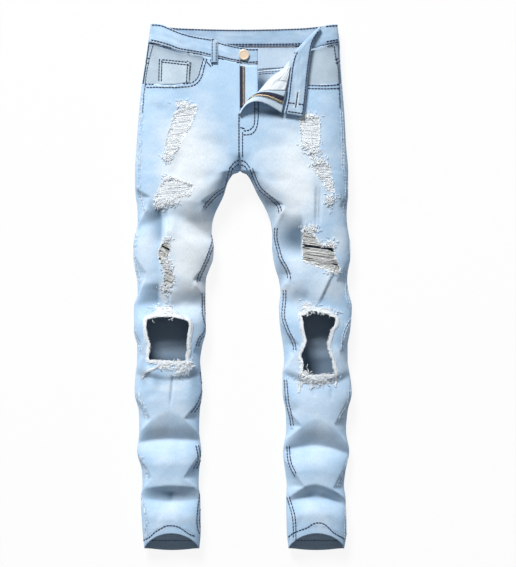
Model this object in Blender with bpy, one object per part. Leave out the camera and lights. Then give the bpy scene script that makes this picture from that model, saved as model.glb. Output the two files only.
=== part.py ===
# Ripped jeans laid flat, front up, with the wearer's left fly turned out over itself.
# Metres, +Y towards the waist, +Z up from the surface that the jeans lie on.
# "right" and "left" are the wearer's. "down" is the distance from the highest point of the
# waistband towards the hems, and "out" is the distance sideways from the centre front seam.

import bisect
import math

import bmesh
import bpy
from mathutils import Vector

MM = 0.001
SEAM_X = -0.0049  # centre front seam
WAIST_Y = 0.50337  # highest point of the waistband
CROTCH = 284 * MM
FRONT_HEM = 1001 * MM  # where the front's hem meets the seams
HEM_PULL = 31 * MM  # how far the front's hem is pulled back in the middle
BACK_HEM_DROP = 5 * MM  # how far the back's hem shows beyond it

# Thicknesses and the gaps between pieces.
CLOTH = 1.4 * MM  # denim
BAND = 2.6 * MM  # the waistband's two layers
POCKET = 1.5 * MM  # back pocket
COIN_POCKET = 1.2 * MM
POCKET_BAG = 1.0 * MM
TAPE = 0.9 * MM
GAP = 0.3 * MM  # between neighbouring pieces
WAIST_GAP = 0.5 * MM  # between the waistband and what hangs from it
FLAP_CLEAR = 0.8 * MM  # between the turned cloth and what lies on it
FACING_DROP = CLOTH + 1.2 * MM  # how far a pocket facing lies under the front's face
SEAT = 1.9 * MM  # room under the seat for the back pockets and loops
SEAT_END = 262 * MM  # where that room starts to close
SEAT_CLOSE = 50 * MM

# How the cloth bends over from the front to the back.
HALF_HIP = 95 * MM  # half the width of one half of the jeans at the hips
SIDE_ROUND = 15 * MM  # roundness of the leg's lower edges
SIDE_TURN = 0.7  # the share of the back that lies flat, from its middle
DOME_FLAT = 2.5
DOME_ROUND = 0.5
SEAM_DIP = 1 * MM  # how far the cloth falls to the centre front seam
FRONT_JOIN = 246 * MM  # where the front starts to fall to the inner seam
BACK_JOIN = 225 * MM  # where the back starts to rise to it
BACK_JOIN_LENGTH = 67 * MM
LEVEL_LENGTH = 50 * MM  # over which the inner edges turn level
CROTCH_ROUND = 34 * MM  # how near the crotch the front rounds off
CROTCH_ROUND_END = 296 * MM
CROTCH_ROUND_FADE = 60 * MM

# The grid of a front or a back.
COLUMNS = 12
ROW = 12 * MM  # length of a facet along the leg
FLAT_ROW = 192 * MM  # below this row the front's rows run straight across
HEM_ROW = 945 * MM  # below this row they bend to the hem
TOP_STEPS = 6
HEM_STEPS = 3
HOLE_FAR, HOLE_NEAR = 3, 9  # the columns at the knee hole's edges
HOLE_REACH = 70 * MM  # how far from the hole the columns bend towards it
TURNS = [-1, -0.85, -0.7, -0.25, 0.25, 0.7, 0.85, 1]  # places across the back
FACING_COLUMNS = 9


def table(names, *rows):
    return {name: [row[k] * MM for row in rows] for k, name in enumerate(names.split())}


def folds(names, *rows):
    return [dict(zip(names.split(), row)) for row in rows]


# Both legs, all in millimetres: how high the front and the side seams lie.
HEIGHTS = table(
    "down  crown  edge",
    (0, 38, 17),
    (60, 44, 18),
    (130, 50, 19),
    (230, 54, 20),
    (300, 55, 20),
    (380, 53, 20),
    (470, 51, 19),
    (600, 48, 18),
    (740, 46, 17),
    (860, 43, 16),
    (945, 41, 16),
    (1006, 37, 15),
)

# How far the side seam and the inner seam lie from the centre front seam.
WIDTHS = {
    "right": table(
        "down  outer  inner",
        (0, 170, 0),
        (41, 176, 0),
        (83, 182, 0),
        (124, 188, 0),
        (176, 193, 0),
        (233, 197, 0),
        (284, 200, 0),
        (285, 200, 7),
        (288, 200, 13),
        (294, 200, 18),
        (305, 200, 24),
        (328, 199, 31),
        (347, 196, 40),
        (364, 195, 48),
        (383, 195, 53),
        (402, 200, 54),
        (425, 203, 50),
        (447, 203, 51),
        (470, 200, 59),
        (489, 196, 65),
        (514, 195, 66),
        (540, 202, 66),
        (586, 202, 65),
        (615, 196, 72),
        (643, 196, 76),
        (668, 199, 74),
        (704, 201, 72),
        (740, 193, 77),
        (776, 192, 78),
        (816, 196, 74),
        (854, 187, 78),
        (881, 186, 79),
        (903, 189, 76),
        (968, 186, 75),
        (1006, 182, 78),
    ),
    "left": table(
        "down  outer  inner",
        (0, 185, 0),
        (41, 190, 0),
        (83, 192, 0),
        (124, 195, 0),
        (176, 199, 0),
        (233, 202, 0),
        (284, 206, 0),
        (285, 206, 7),
        (288, 206, 12),
        (294, 206, 17),
        (305, 206, 23),
        (328, 206, 34),
        (347, 204, 45),
        (364, 203, 53),
        (383, 204, 59),
        (402, 207, 61),
        (425, 210, 61),
        (447, 210, 63),
        (470, 206, 68),
        (489, 204, 74),
        (514, 207, 77),
        (540, 213, 74),
        (584, 210, 77),
        (615, 205, 82),
        (643, 205, 84),
        (668, 209, 81),
        (704, 213, 81),
        (740, 205, 87),
        (776, 202, 88),
        (816, 208, 82),
        (854, 201, 86),
        (881, 198, 89),
        (903, 201, 88),
        (968, 203, 89),
        (1006, 198, 93),
    ),
}

# Folds across a leg, in millimetres, each value at the side seam, in the middle and at the
# inner seam: the line of the bottom, how long the cloth falls to it and rises from it, and
# the share of the height that is lost. top is how much of the fall lies at its upper end,
# and round is how far the bottom is rounded.
VALLEYS = {
    "right": folds(
        "line  fall  rise  depth  top  round",
        ((390, 368, 414), (44, 24, 60), (40, 30, 44), (0.35, 0.15, 0.8), 0.3, 6),
        ((540, 536, 536), (24, 50, 30), (30, 30, 30), (0.6, 0.4, 0.6), 0.15, 8),
        ((668, 680, 668), (16, 10, 16), (40, 40, 40), (0.4, 0.1, 0.4), 0.0, 3),
        ((799, 792, 796), (18, 52, 20), (42, 46, 42), (0.6, 0.62, 0.7), 0.2, 2),
        ((904, 910, 906), (16, 30, 20), (34, 34, 34), (0.5, 0.55, 0.5), 0.8, 2),
    ),
    "left": folds(
        "line  fall  rise  depth  top  round",
        ((430, 425, 420), (60, 50, 60), (40, 40, 46), (0.0, 0.1, 0.4), 0.3, 14),
        ((540, 536, 530), (40, 40, 26), (34, 34, 34), (0.35, 0.15, 0.4), 0.3, 10),
        ((672, 688, 668), (16, 10, 16), (40, 40, 40), (0.4, 0.1, 0.4), 0.0, 3),
        ((822, 804, 814), (22, 50, 20), (44, 44, 44), (0.7, 0.62, 0.6), 0.2, 2),
        ((918, 902, 912), (14, 24, 16), (30, 30, 30), (0.5, 0.5, 0.5), 0.7, 2),
    ),
}

# Dents in the sides of a leg: where each starts and ends at the seam, and its inmost point.
DENTS = {
    "right": (
        dict(side="outer", start=314, tip=332, reach=30, end=388),
        dict(side="outer", start=436, tip=476, reach=22, end=524),
        dict(side="outer", start=574, tip=632, reach=15, end=654),
        dict(side="outer", start=712, tip=752, reach=24, end=780),
        dict(side="outer", start=822, tip=864, reach=20, end=890),
        dict(side="inner", start=306, tip=340, reach=37, end=408),
        dict(side="inner", start=447, tip=489, reach=25, end=522),
        dict(side="inner", start=584, tip=626, reach=15, end=650),
        dict(side="inner", start=716, tip=752, reach=29, end=782),
        dict(side="inner", start=814, tip=864, reach=29, end=888),
    ),
    "left": (
        dict(side="outer", start=318, tip=350, reach=16, end=380),
        dict(side="outer", start=446, tip=492, reach=22, end=548),
        dict(side="outer", start=560, tip=630, reach=16, end=664),
        dict(side="outer", start=706, tip=764, reach=24, end=802),
        dict(side="outer", start=836, tip=885, reach=22, end=906),
        dict(side="inner", start=318, tip=346, reach=40, end=394),
        dict(side="inner", start=424, tip=478, reach=28, end=506),
        dict(side="inner", start=570, tip=612, reach=32, end=662),
        dict(side="inner", start=732, tip=766, reach=30, end=792),
        dict(side="inner", start=830, tip=881, reach=34, end=904),
    ),
}

# The hole over each knee: its edges, as distances from the centre front seam.
KNEES = {
    "right": table(
        "down  near  far",
        (560, 97, 172),
        (586, 97, 178),
        (614, 99, 172),
        (643, 108, 174),
    ),
    "left": table(
        "down  near  far",
        (549, 115, 178),
        (580, 119, 174),
        (613, 121, 167),
        (640, 116, 171),
        (668, 122, 178),
    ),
}

# The waistband's upper edge and its seam, by distance from the centre front seam.
BAND_FRONT_RIGHT = table(
    "out  top  seam",
    (-34, 51, 80),
    (-19, 51, 81),
    (0, 48, 78),
    (19, 44, 75),
    (38, 39, 70),
    (57, 32, 67),
    (76, 29, 62),
    (95, 25, 59),
    (114, 19, 56),
    (133, 11, 49),
    (152, 3, 43),
    (172, 1, 37),
)
BAND_FRONT_LEFT = table(
    "out  top  seam",
    (0, 48, 78),
    (76, 30, 66),
    (106, 24, 59),
    (139, 15, 50),
    (165, 5, 42),
    (186, 2, 37),
)
BAND_BACK = table(
    "out  top  seam",
    (0, 11, 43),
    (60, 10, 43),
    (120, 8, 42),
    (155, 5, 40),
    (190, 2, 37),
)
# The waistband's turned end, a row for each line across it, crease first.
BAND_TURNED = table(
    "top_out  top_down  seam_out  seam_down",
    (145, 17, 105, 62),
    (138, 38, 100, 74),
    (132, 71, 96, 94),
    (128, 104, 93, 118),
    (124, 146, 90, 144),
    (120, 181, 83, 175),
)
# The turned cloth, a row for each line across it from the crease to the waistband's seam,
# fly edge first. bump is how far the line's middle lies towards the waist, and lift is how
# far it stands off the front.
FLAP = table(
    "crease_out  crease_down  seam_out  seam_down  bump  lift",
    (5, 178, 81, 176, 23, 13),
    (15, 156, 85, 154, 15, 10),
    (25, 146, 88, 144, 9, 7),
    (36, 138, 90, 128, 4, 5),
    (61, 110, 92, 112, 1, 3),
    (84, 93, 93, 97, 0, 1),
    (95, 79, 97, 84, 0, 0),
)
FLAP_FOLD = 3.3 * MM  # inner radius of the flap's crease
BAND_FOLD = 2.7 * MM  # inner radius of the waistband's crease
CREASE_OUT = Vector((-0.66, 0.75, 0))  # across the crease, away from the front
ROLL_STEPS = 4
FLAP_STEPS = 6
FLAP_COLUMNS = 7
SEAM_SHARE = 0.03  # of the turned cloth's width, left free beside the waistband
FLAP_STEP = 0.01  # between the places that give the turned cloth's direction

# Places across the turned cloth, from the fly edge, of what lies on it.
CHAIN_ON_FLAP = (0.11, 0.155)
TAPE_ON_FLAP = (0.17, 0.3)
FACING_ON_FLAP = (0.325, 0.45)
BAG_ON_FLAP = (0.475, 0.6, 0.73, 0.86, 0.95)

# The waistband's places: sideways beyond the centre, then across the fronts and the backs.
BAND_LEVEL = 40 * MM  # where a place across the legs is read as a distance out
BAND_CENTRE = (34, 22, 10)
BAND_RIGHT_TURNS = (0.93, 0.75, 0.55, 0.35, 0.15, -0.05, -0.25, -0.45, -0.62, -0.76, -0.87, -0.95)
BAND_BACK_TURNS = (-1, -0.85, -0.7, -0.35, 0, 0.35, 0.7)
BAND_LEFT_TURNS = (-0.95, -0.87, -0.76, -0.64)
CENTRE_OUT, CENTRE_DOWN = 1 * MM, 60 * MM  # where the height of the open waistband is read

# The mouth of the right front pocket and, mirrored, of the left one.
MOUTH = table(
    "out  down",
    (186, 116),
    (165, 118),
    (143, 120),
    (124, 120),
    (105, 117),
    (90, 115),
    (81, 108),
    (77, 100),
    (73, 82),
    (68, 65),
)
YOKE_SEAM = table("out  down", (0, 93), (100, 82), (206, 72))
YOKE_LEVEL = 80 * MM  # where a place across the back is read as a distance out
YOKE_EDGE = 92 * MM  # the back's second row at the side seam
MOUTH_END_RIGHT = (68 * MM, 65.5 * MM + WAIST_GAP)
MOUTH_END_LEFT = (108 * MM, 117 * MM)
WAIST_ACROSS = (0.45, 0.7, 0.85, 1.0)  # places on the right front's seam to the waistband
SEAM_GUESS = 60 * MM

# The facings end out of sight under the fronts, this far out and down.
FACING_INNER = {"right": 62 * MM, "left": 112 * MM}
FACING_END = 125 * MM
# The coin pocket's outer and inner edge, as distances out and down.
COIN_OUTER, COIN_INNER = (151, 70.5), (96, 77)
COIN_BOTTOM = 112
COIN_COLUMNS = 4

# The fly, its edges as distances out and down, and how far each piece lies under the face.
FLY_SHIELD = table(
    "down  left  right",
    (83, -14, 34),
    (105, -14, 34),
    (127, -14, 34),
    (148, -14, 31),
    (168, -14, 22),
)
SHIELD_DROP = 3.4 * MM
ZIP_TOP = 84 * MM
ZIP_END = 163 * MM
ZIP_ROWS = 4
TAPE_START = -9 * MM
TAPE_EDGE = 5 * MM
TAPE_DROP = 2.1 * MM
CHAIN_WIDTH = 4 * MM
CHAIN_DEPTH = 2.4 * MM
CHAIN_DROP = 0.6 * MM
SLIDER = dict(downs=(177 * MM, 187 * MM), left=-4 * MM, right=5 * MM, drop=2.6 * MM, thickness=3 * MM)
PULL = dict(downs=(187.4 * MM, 207 * MM), left=-3 * MM, right=4 * MM, drop=3.2 * MM, thickness=1.2 * MM)

LOOP_WIDTH = 13 * MM
LOOP_LENGTH = 47 * MM
LOOP_THICK = 1.5 * MM
LOOP_RISE = 0.6 * MM  # between the waistband and a front loop
LOOP_OVER = 2 * MM  # how far a back loop reaches over the waistband's upper edge
BACK_LOOPS = {"back": 0, "side_right": -112 * MM, "side_left": 112 * MM}
FRONT_LOOP_OUTS = (55 * MM, 48.5 * MM, 42 * MM)
FRONT_LOOP_OVER = 1.5 * MM
FRONT_LOOP_UNDER = 11 * MM  # how far it reaches below the waistband
TURNED_LOOP = (0.66, 0.73)  # its edges along the waistband's turned end
TURNED_LOOP_SHARES = (-0.04, 0.33, 0.66, 1.04)

BUTTON_OUT = 7.6 * MM
BUTTON_DOWN = 63 * MM
BUTTON_RADIUS = 10 * MM
BUTTON_HEIGHT = 3.4 * MM
BUTTON_SEAT = 0.9 * MM  # the waistband dips to the centre under the button
BUTTON_RIM = 0.8 * MM
BUTTON_SIDES = 28

# A back pocket's corners about its upper edge's middle, and where that middle lies.
BACK_POCKET = ((-66, 0), (66, 0), (60, 124), (0, 143), (-60, 124))
BACK_POCKET_OUT = 96
BACK_POCKET_DOWN = 112

DENIM = (0.56, 0.70, 0.82)
DENIM_INSIDE = (0.62, 0.72, 0.80)
NAVY = (0.03, 0.03, 0.06)
BRASS = (0.62, 0.42, 0.20)
CREAM = (0.90, 0.66, 0.48)
WHITE = (0.85, 0.86, 0.88)

for old in list(bpy.data.objects):
    bpy.data.objects.remove(old, do_unlink=True)


def read(rows, name, place, by="down"):
    """The value of a column between a table's rows, on a curve that never overshoots them."""
    xs, ys = rows[by], rows[name]
    if place <= xs[0]:
        return ys[0]
    if place >= xs[-1]:
        return ys[-1]
    k = bisect.bisect_right(xs, place) - 1
    width = xs[k + 1] - xs[k]
    rise = (ys[k + 1] - ys[k]) / width

    def slope(i):
        if i == 0 or i == len(xs) - 1:
            return rise
        before = (ys[i] - ys[i - 1]) / (xs[i] - xs[i - 1])
        after = (ys[i + 1] - ys[i]) / (xs[i + 1] - xs[i])
        return 0.0 if before * after <= 0 else 2 * before * after / (before + after)

    u = (place - xs[k]) / width
    start, end = slope(k) * width, slope(k + 1) * width
    step = ys[k + 1] - ys[k]
    return ys[k] + u * (start + u * ((3 * step - 2 * start - end) + u * (start + end - 2 * step)))


def mix(a, b, share):
    return a + (b - a) * share


def smooth(x):
    x = min(max(x, 0.0), 1.0)
    return x * x * (3 - 2 * x)


def along(points, count, ease=1.0):
    """(across, down) places spread along a broken line, its ends among them, closer at its start."""
    marks = [0.0]
    for a, b in zip(points, points[1:]):
        marks.append(marks[-1] + math.hypot(HALF_HIP * (b[0] - a[0]), b[1] - a[1]))
    found = []
    for i in range(count):
        place = marks[-1] * (i / (count - 1)) ** ease
        k = min(bisect.bisect_right(marks, place), len(marks) - 1) - 1
        share = (place - marks[k]) / (marks[k + 1] - marks[k])
        found.append(tuple(mix(a, b, share) for a, b in zip(points[k], points[k + 1])))
    return found


def valley_share(valley, across, down):
    """The share of the height that is lost to a fold across the leg."""
    at_outer, middle, at_inner = zip(*(valley[name] for name in ("line", "fall", "rise", "depth")))
    ends = at_outer if across < 0 else at_inner
    line, fall, rise, depth = (mix(a, b, abs(across) ** 1.5) for a, b in zip(middle, ends))
    off = down / MM - line
    near = 1 - (math.hypot(off, valley["round"]) - valley["round"]) / (fall if off < 0 else rise)
    if near <= 0:
        return 0.0
    if off > 0:
        return depth * near**1.6
    return depth * mix(near**2, 1 - (1 - near) ** 2, valley["top"])


class Leg:
    """The form of one half of the jeans. Across it runs from -1, the side seam, to 1."""

    def __init__(self, name):
        self.name = name
        self.side = -1 if name == "right" else 1
        self.widths = WIDTHS[name]
        self.knee = KNEES[name]

    def span(self, down):
        outer = read(self.widths, "outer", down)
        inner = max(read(self.widths, "inner", down) if down > CROTCH else 0.0, 0.5 * GAP)
        return outer, inner

    def out(self, across, down):
        outer, inner = self.span(down)
        return 0.5 * (outer + inner) - 0.5 * (outer - inner) * across

    def across(self, out, down):
        outer, inner = self.span(down)
        return min(max((outer + inner - 2 * out) / (outer - inner), -1.0), 1.0)

    def inner_seam(self, down):
        """Heights of the front's and the back's inner edge, which meet at the crotch."""
        edge = read(HEIGHTS, "edge", down)
        crown = read(HEIGHTS, "crown", down) - SEAM_DIP
        join = smooth((down - FRONT_JOIN) / (CROTCH + 8 * MM - FRONT_JOIN))
        rise = smooth((down - BACK_JOIN) / BACK_JOIN_LENGTH)
        return mix(crown, edge, join), mix(self.seat(down), edge, rise)

    def seat(self, down):
        return SEAT * (1 - smooth((down - SEAT_END) / SEAT_CLOSE))

    def dome(self, across, down):
        crown, edge = read(HEIGHTS, "crown", down), read(HEIGHTS, "edge", down)
        end = edge
        if across >= 0:
            outer, inner = self.span(down)
            half = 0.5 * (outer - inner)
            end = self.inner_seam(down)[0]
            close = smooth((down - BACK_JOIN) / LEVEL_LENGTH)
            close *= 1 - smooth((down - CROTCH_ROUND_END) / CROTCH_ROUND_FADE)
            across = max(0.0, 1 - (1 - across) * half / mix(half, CROTCH_ROUND, close))
        return end + (crown - end) * (1 - abs(across) ** DOME_FLAT) ** DOME_ROUND

    def height(self, across, down):
        """How high the front lies, with its dents and folds."""
        outer, inner = self.span(down)
        half = 0.5 * (outer - inner)
        edge = read(HEIGHTS, "edge", down)
        z = self.dome(across, down)
        for dent in DENTS[self.name]:
            start, tip, end = dent["start"] * MM, dent["tip"] * MM, dent["end"] * MM
            if not start < down < end:
                continue
            share = (down - start) / (tip - start) if down < tip else (end - down) / (end - tip)
            reach = dent["reach"] * MM * share
            inward = half * (1 + across if dent["side"] == "outer" else 1 - across)
            if inward < reach:
                ridge = 1 - reach / half
                top = self.dome(-ridge if dent["side"] == "outer" else ridge, down)
                z = min(z, edge + (top - edge) * inward / reach)
        for valley in VALLEYS[self.name]:
            z -= (z - edge) * valley_share(valley, across, down)
        return z

    def front(self, across, down):
        x = SEAM_X + self.side * self.out(across, down)
        return Vector((x, WAIST_Y - down, self.height(across, down) + 0.5 * GAP))

    def back(self, turn, down):
        """The lower half, from -1 at the side seam, flat under the leg, to 1 at the inner seam."""
        outer, inner = self.span(down)
        edge, floor = read(HEIGHTS, "edge", down), self.seat(down)
        high = edge if turn < 0 else self.inner_seam(down)[1]
        lean = min(max((abs(turn) - SIDE_TURN) / (1 - SIDE_TURN), 0.0), 1.0)
        inset = SIDE_ROUND * (1 - math.sin(0.5 * math.pi * lean))
        z = floor + max(high - floor, 0.0) * (1 - math.cos(0.5 * math.pi * lean))
        if lean == 0:
            inset = mix(SIDE_ROUND, 0.5 * (outer - inner), 1 - abs(turn) / SIDE_TURN)
        out = outer - inset if turn < 0 else inner + inset
        return Vector((SEAM_X + self.side * out, WAIST_Y - down, z - (0.5 * GAP if lean == 1 else 0)))


LEGS = {name: Leg(name) for name in ("right", "left")}


def material(name, colour, roughness=0.9, metallic=0.0):
    found = bpy.data.materials.get(name) or bpy.data.materials.new(name)
    found.use_nodes = True
    shader = found.node_tree.nodes["Principled BSDF"]
    shader.inputs["Base Color"].default_value = (*colour, 1)
    shader.inputs["Roughness"].default_value = roughness
    shader.inputs["Metallic"].default_value = metallic
    return found


def finish(name, mesh, look):
    shape = bpy.data.meshes.new(name)
    mesh.to_mesh(shape)
    mesh.free()
    shape.materials.append(look)
    piece = bpy.data.objects.new(name, shape)
    bpy.context.scene.collection.objects.link(piece)
    return piece


def grid_normals(rows, sign=1):
    """The direction out of the cloth at each point of a grid with missing points."""

    def at(i, j):
        if 0 <= i < len(rows) and 0 <= j < len(rows[i]):
            return rows[i][j]
        return None

    normals = []
    for i, row in enumerate(rows):
        normals.append([])
        for j, point in enumerate(row):
            if point is None:
                normals[-1].append(None)
                continue
            down = (at(i + 1, j) or point) - (at(i - 1, j) or point)
            over = (at(i, j + 1) or point) - (at(i, j - 1) or point)
            normals[-1].append(over.cross(down).normalized() * sign)
    return normals


def wall(name, rows, look, thickness=CLOTH, normals=None, holes=()):
    """A closed wall: the rows' cells as its face, and the same cells moved in by its thickness."""
    normals = normals or grid_normals(rows)
    mesh = bmesh.new()
    face, lining = {}, {}
    for i, row in enumerate(rows):
        for j, point in enumerate(row):
            if point is not None:
                face[i, j] = mesh.verts.new(point)
                lining[i, j] = mesh.verts.new(point - normals[i][j] * thickness)
    edges = set()
    for i in range(len(rows) - 1):
        for j in range(len(rows[0]) - 1):
            ring = [(i, j), (i + 1, j), (i + 1, j + 1), (i, j + 1)]
            if (i, j) in holes or any(corner not in face for corner in ring):
                continue
            mesh.faces.new([face[corner] for corner in ring])
            mesh.faces.new([lining[corner] for corner in reversed(ring)])
            edges |= set(zip(ring, ring[1:] + ring[:1]))
    for a, b in edges:
        if (b, a) not in edges:
            mesh.faces.new([face[b], face[a], lining[a], lining[b]])
    loose = [vert for vert in mesh.verts if not vert.link_faces]
    bmesh.ops.delete(mesh, geom=loose, context="VERTS")
    bmesh.ops.recalc_face_normals(mesh, faces=mesh.faces)
    return finish(name, mesh, look)


def seam_normals(rows, downs, leg, back=False):
    """Grid normals, turned level where the front and the back meet at a seam."""
    normals = grid_normals(rows, leg.side * (-1 if back else 1))
    for row, down in zip(normals, downs):
        row[0] = Vector((leg.side, 0, 0))
        level = smooth((down - BACK_JOIN) / LEVEL_LENGTH)
        row[-1] = mix(Vector((0, 0, -1 if back else 1)), Vector((-leg.side, 0, 0)), level).normalized()
    return normals


def leg_rows(leg):
    """Places of the rows below FLAT_ROW: at the knee hole's edges, and evenly between."""
    knee = leg.knee["down"]
    stops = [FLAT_ROW, CROTCH + 4 * MM, knee[0], knee[-1], HEM_ROW]
    rows = [FLAT_ROW]
    for a, b in zip(stops, stops[1:]):
        count = max(round((b - a) / ROW), 1)
        rows += [a + (b - a) * (k + 1) / count for k in range(count)]
    return rows


def column_place(j):
    return math.sin(0.5 * math.pi * (2 * j / COLUMNS - 1))


def hole_columns(leg, down, places):
    """Moves the columns so that two of them run along the knee hole's edges."""
    knee = leg.knee
    near, far = HOLE_NEAR, HOLE_FAR
    away = max(knee["down"][0] - down, down - knee["down"][-1], 0.0)
    share = smooth(1 - away / HOLE_REACH)
    if share == 0:
        return places
    target_far = leg.across(read(knee, "far", down), down)
    target_near = leg.across(read(knee, "near", down), down)
    moved = []
    for j, place in enumerate(places):
        if j <= far:
            want = mix(-1.0, target_far, (places[j] + 1) / (places[far] + 1))
        elif j < near:
            want = mix(target_far, target_near, (j - far) / (near - far))
        else:
            want = mix(1.0, target_near, (1 - places[j]) / (1 - places[near]))
        moved.append(mix(place, want, share))
    return moved


def hem_line(across):
    return FRONT_HEM - HEM_PULL * (1 - across * across) ** 0.8


def back_hem_line(turn):
    return FRONT_HEM + BACK_HEM_DROP * (1 - turn * turn)


def front_rows(leg, top):
    """The grid of a front: top is a broken line of (across, down) places, one for each column."""
    base = [column_place(j) for j in range(COLUMNS + 1)]
    rows, places = [], []
    for k in range(TOP_STEPS):
        share = k / TOP_STEPS
        rows.append(
            [
                leg.front(mix(a, base[j], share), mix(down, FLAT_ROW, share))
                for j, (a, down) in enumerate(top)
            ]
        )
        places.append(mix(top[-1][1], FLAT_ROW, share))
    for down in leg_rows(leg):
        rows.append([leg.front(a, down) for a in hole_columns(leg, down, base)])
        places.append(down)
    for k in range(1, HEM_STEPS + 1):
        share = k / HEM_STEPS
        rows.append([leg.front(a, mix(HEM_ROW, hem_line(a), share)) for a in base])
        places.append(mix(HEM_ROW, hem_line(1), share))
    return rows, places


def knee_cells(leg, first):
    downs = leg_rows(leg)
    cells = set()
    for i, (a, b) in enumerate(zip(downs, downs[1:])):
        middle = 0.5 * (a + b)
        if leg.knee["down"][0] < middle < leg.knee["down"][-1]:
            cells |= {(first + i, j) for j in range(HOLE_FAR, HOLE_NEAR)}
    return cells


def mouth_line(leg, end_out, end_down):
    """The pocket mouth from the side seam inwards, as (across, down), to an end of its own."""
    points = []
    for out, down in zip(MOUTH["out"], MOUTH["down"]):
        if out > end_out:
            points.append((leg.across(out, down) if points else -1.0, down + 0.5 * GAP))
    points.append((leg.across(end_out, end_down), end_down))
    return points


def waist_seam(leg, across):
    rows = BAND_FRONT_RIGHT if leg.name == "right" else BAND_FRONT_LEFT
    down = SEAM_GUESS
    for _ in range(4):
        down = read(rows, "seam", leg.out(across, down), by="out")
    return down


def make_front_right():
    leg = LEGS["right"]
    mouth = mouth_line(leg, *MOUTH_END_RIGHT)
    seam = [(a, waist_seam(leg, a) + WAIST_GAP) for a in WAIST_ACROSS]
    top = along(mouth, 9, 1.7)[:-1] + along([mouth[-1]] + seam, COLUMNS - 7)
    rows, places = front_rows(leg, top)
    normals = seam_normals(rows, places, leg)
    wall("front_right", rows, material("denim", DENIM), normals=normals, holes=knee_cells(leg, TOP_STEPS))


def line_between(rows, place):
    """One line between a table's rows, by its place from 0, the first row, to 1, the last."""
    marks = dict(rows)
    count = len(next(iter(rows.values())))
    marks["place"] = [k / (count - 1) for k in range(count)]
    return {name: read(marks, name, place, by="place") for name in rows}


def front_height(out, down):
    """How high the wearer's left front lies under the turned cloth, its folds left out."""
    leg = LEGS["left"]
    return leg.height(leg.across(out, down), down) + 0.5 * GAP


def at(out, down, z):
    return Vector((SEAM_X + out, WAIST_Y - down, z))


def flap_point(place, share, lift=0.0):
    """The turned cloth's lower face: place from the fly edge, share from crease to seam."""
    line = line_between(FLAP, place)
    out = mix(line["crease_out"], line["seam_out"], share)
    down = mix(line["crease_down"], line["seam_down"], share)
    hump = math.sin(math.pi * share**0.7)
    down -= line["bump"] * hump
    z = front_height(out, down) + 2 * FLAP_FOLD + line["lift"] * hump + lift
    return at(out, down, z)


def roll(point, radius, step):
    """A point carried round a crease of this radius, from step 0, before it, to the last, after it."""
    angle = math.pi * step / ROLL_STEPS
    return point + CREASE_OUT * radius * math.sin(angle) + Vector((0, 0, radius * (1 - math.cos(angle))))


def make_front_left():
    leg = LEGS["left"]
    folded = FLAP_COLUMNS
    places = [1 - k / (folded - 1) for k in range(folded)]
    crease = [line_between(FLAP, place) for place in places]
    corner = (crease[0]["crease_out"], crease[0]["crease_down"])
    mouth = mouth_line(leg, *MOUTH_END_LEFT)
    mouth.append((leg.across(*corner), corner[1]))
    top = along(mouth, COLUMNS + 2 - folded, 2.0)[:-1]
    top += [(leg.across(line["crease_out"], line["crease_down"]), line["crease_down"]) for line in crease]
    rows, downs = front_rows(leg, top)
    first = COLUMNS + 1 - folded
    turned = []
    for step in range(1, ROLL_STEPS + 1):
        turned.append([roll(rows[0][first + k], FLAP_FOLD, step) for k in range(folded)])
    for step in range(1, FLAP_STEPS + 1):
        share = (1 - SEAM_SHARE) * step / FLAP_STEPS
        turned.append([flap_point(place, share) for place in places])
    turned = [[None] * first + row for row in reversed(turned)]
    whole = turned + rows
    count = len(turned)
    normals = grid_normals(whole)
    flat = seam_normals(rows, downs, leg)
    normals[count:] = [flat[0][:first] + normals[count][first:]] + flat[1:]
    wall(
        "front_left",
        whole,
        material("denim", DENIM),
        normals=normals,
        holes=knee_cells(leg, TOP_STEPS + count),
    )


def back_rows(leg, start, downs_side, turns):
    """Rows of the back from the line start(turn), spread as downs_side is at the side seam."""
    rows = []
    for down in downs_side:
        share = (down - start(-1)) / (FLAT_ROW - start(-1))
        rows.append([leg.back(turn, mix(start(turn), FLAT_ROW, share)) for turn in turns])
    return rows


def back_out(leg, turn, down):
    return abs(leg.back(turn, down).x - SEAM_X)


def make_back(leg):
    def start(turn):
        return read(YOKE_SEAM, "down", back_out(leg, turn, YOKE_LEVEL), by="out") + GAP

    side_top = [start(-1), YOKE_EDGE]
    first = MOUTH["down"][0] + 0.5 * GAP
    side = side_top + [mix(first, FLAT_ROW, k / TOP_STEPS) for k in range(TOP_STEPS)]
    rows = back_rows(leg, start, side, TURNS)
    places = list(side)
    for down in leg_rows(leg):
        rows.append([leg.back(turn, down) for turn in TURNS])
        places.append(down)
    for k in range(1, HEM_STEPS + 1):
        share = k / HEM_STEPS
        rows.append([leg.back(turn, mix(HEM_ROW, back_hem_line(turn), share)) for turn in TURNS])
        places.append(mix(HEM_ROW, back_hem_line(1), share))
    normals = seam_normals(rows, places, leg, back=True)
    wall("back_" + leg.name, rows, material("denim", DENIM), normals=normals)


def make_yoke(leg):
    def top(turn):
        return read(BAND_BACK, "seam", back_out(leg, turn, BAND_LEVEL), by="out") + WAIST_GAP

    def bottom(turn):
        return read(YOKE_SEAM, "down", back_out(leg, turn, YOKE_LEVEL), by="out")

    rows = [[leg.back(turn, mix(top(turn), bottom(turn), share)) for turn in TURNS] for share in (0, 0.5, 1)]
    normals = seam_normals(rows, [BAND_LEVEL] * len(rows), leg, back=True)
    wall("yoke_" + leg.name, rows, material("denim", DENIM), normals=normals)


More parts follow.
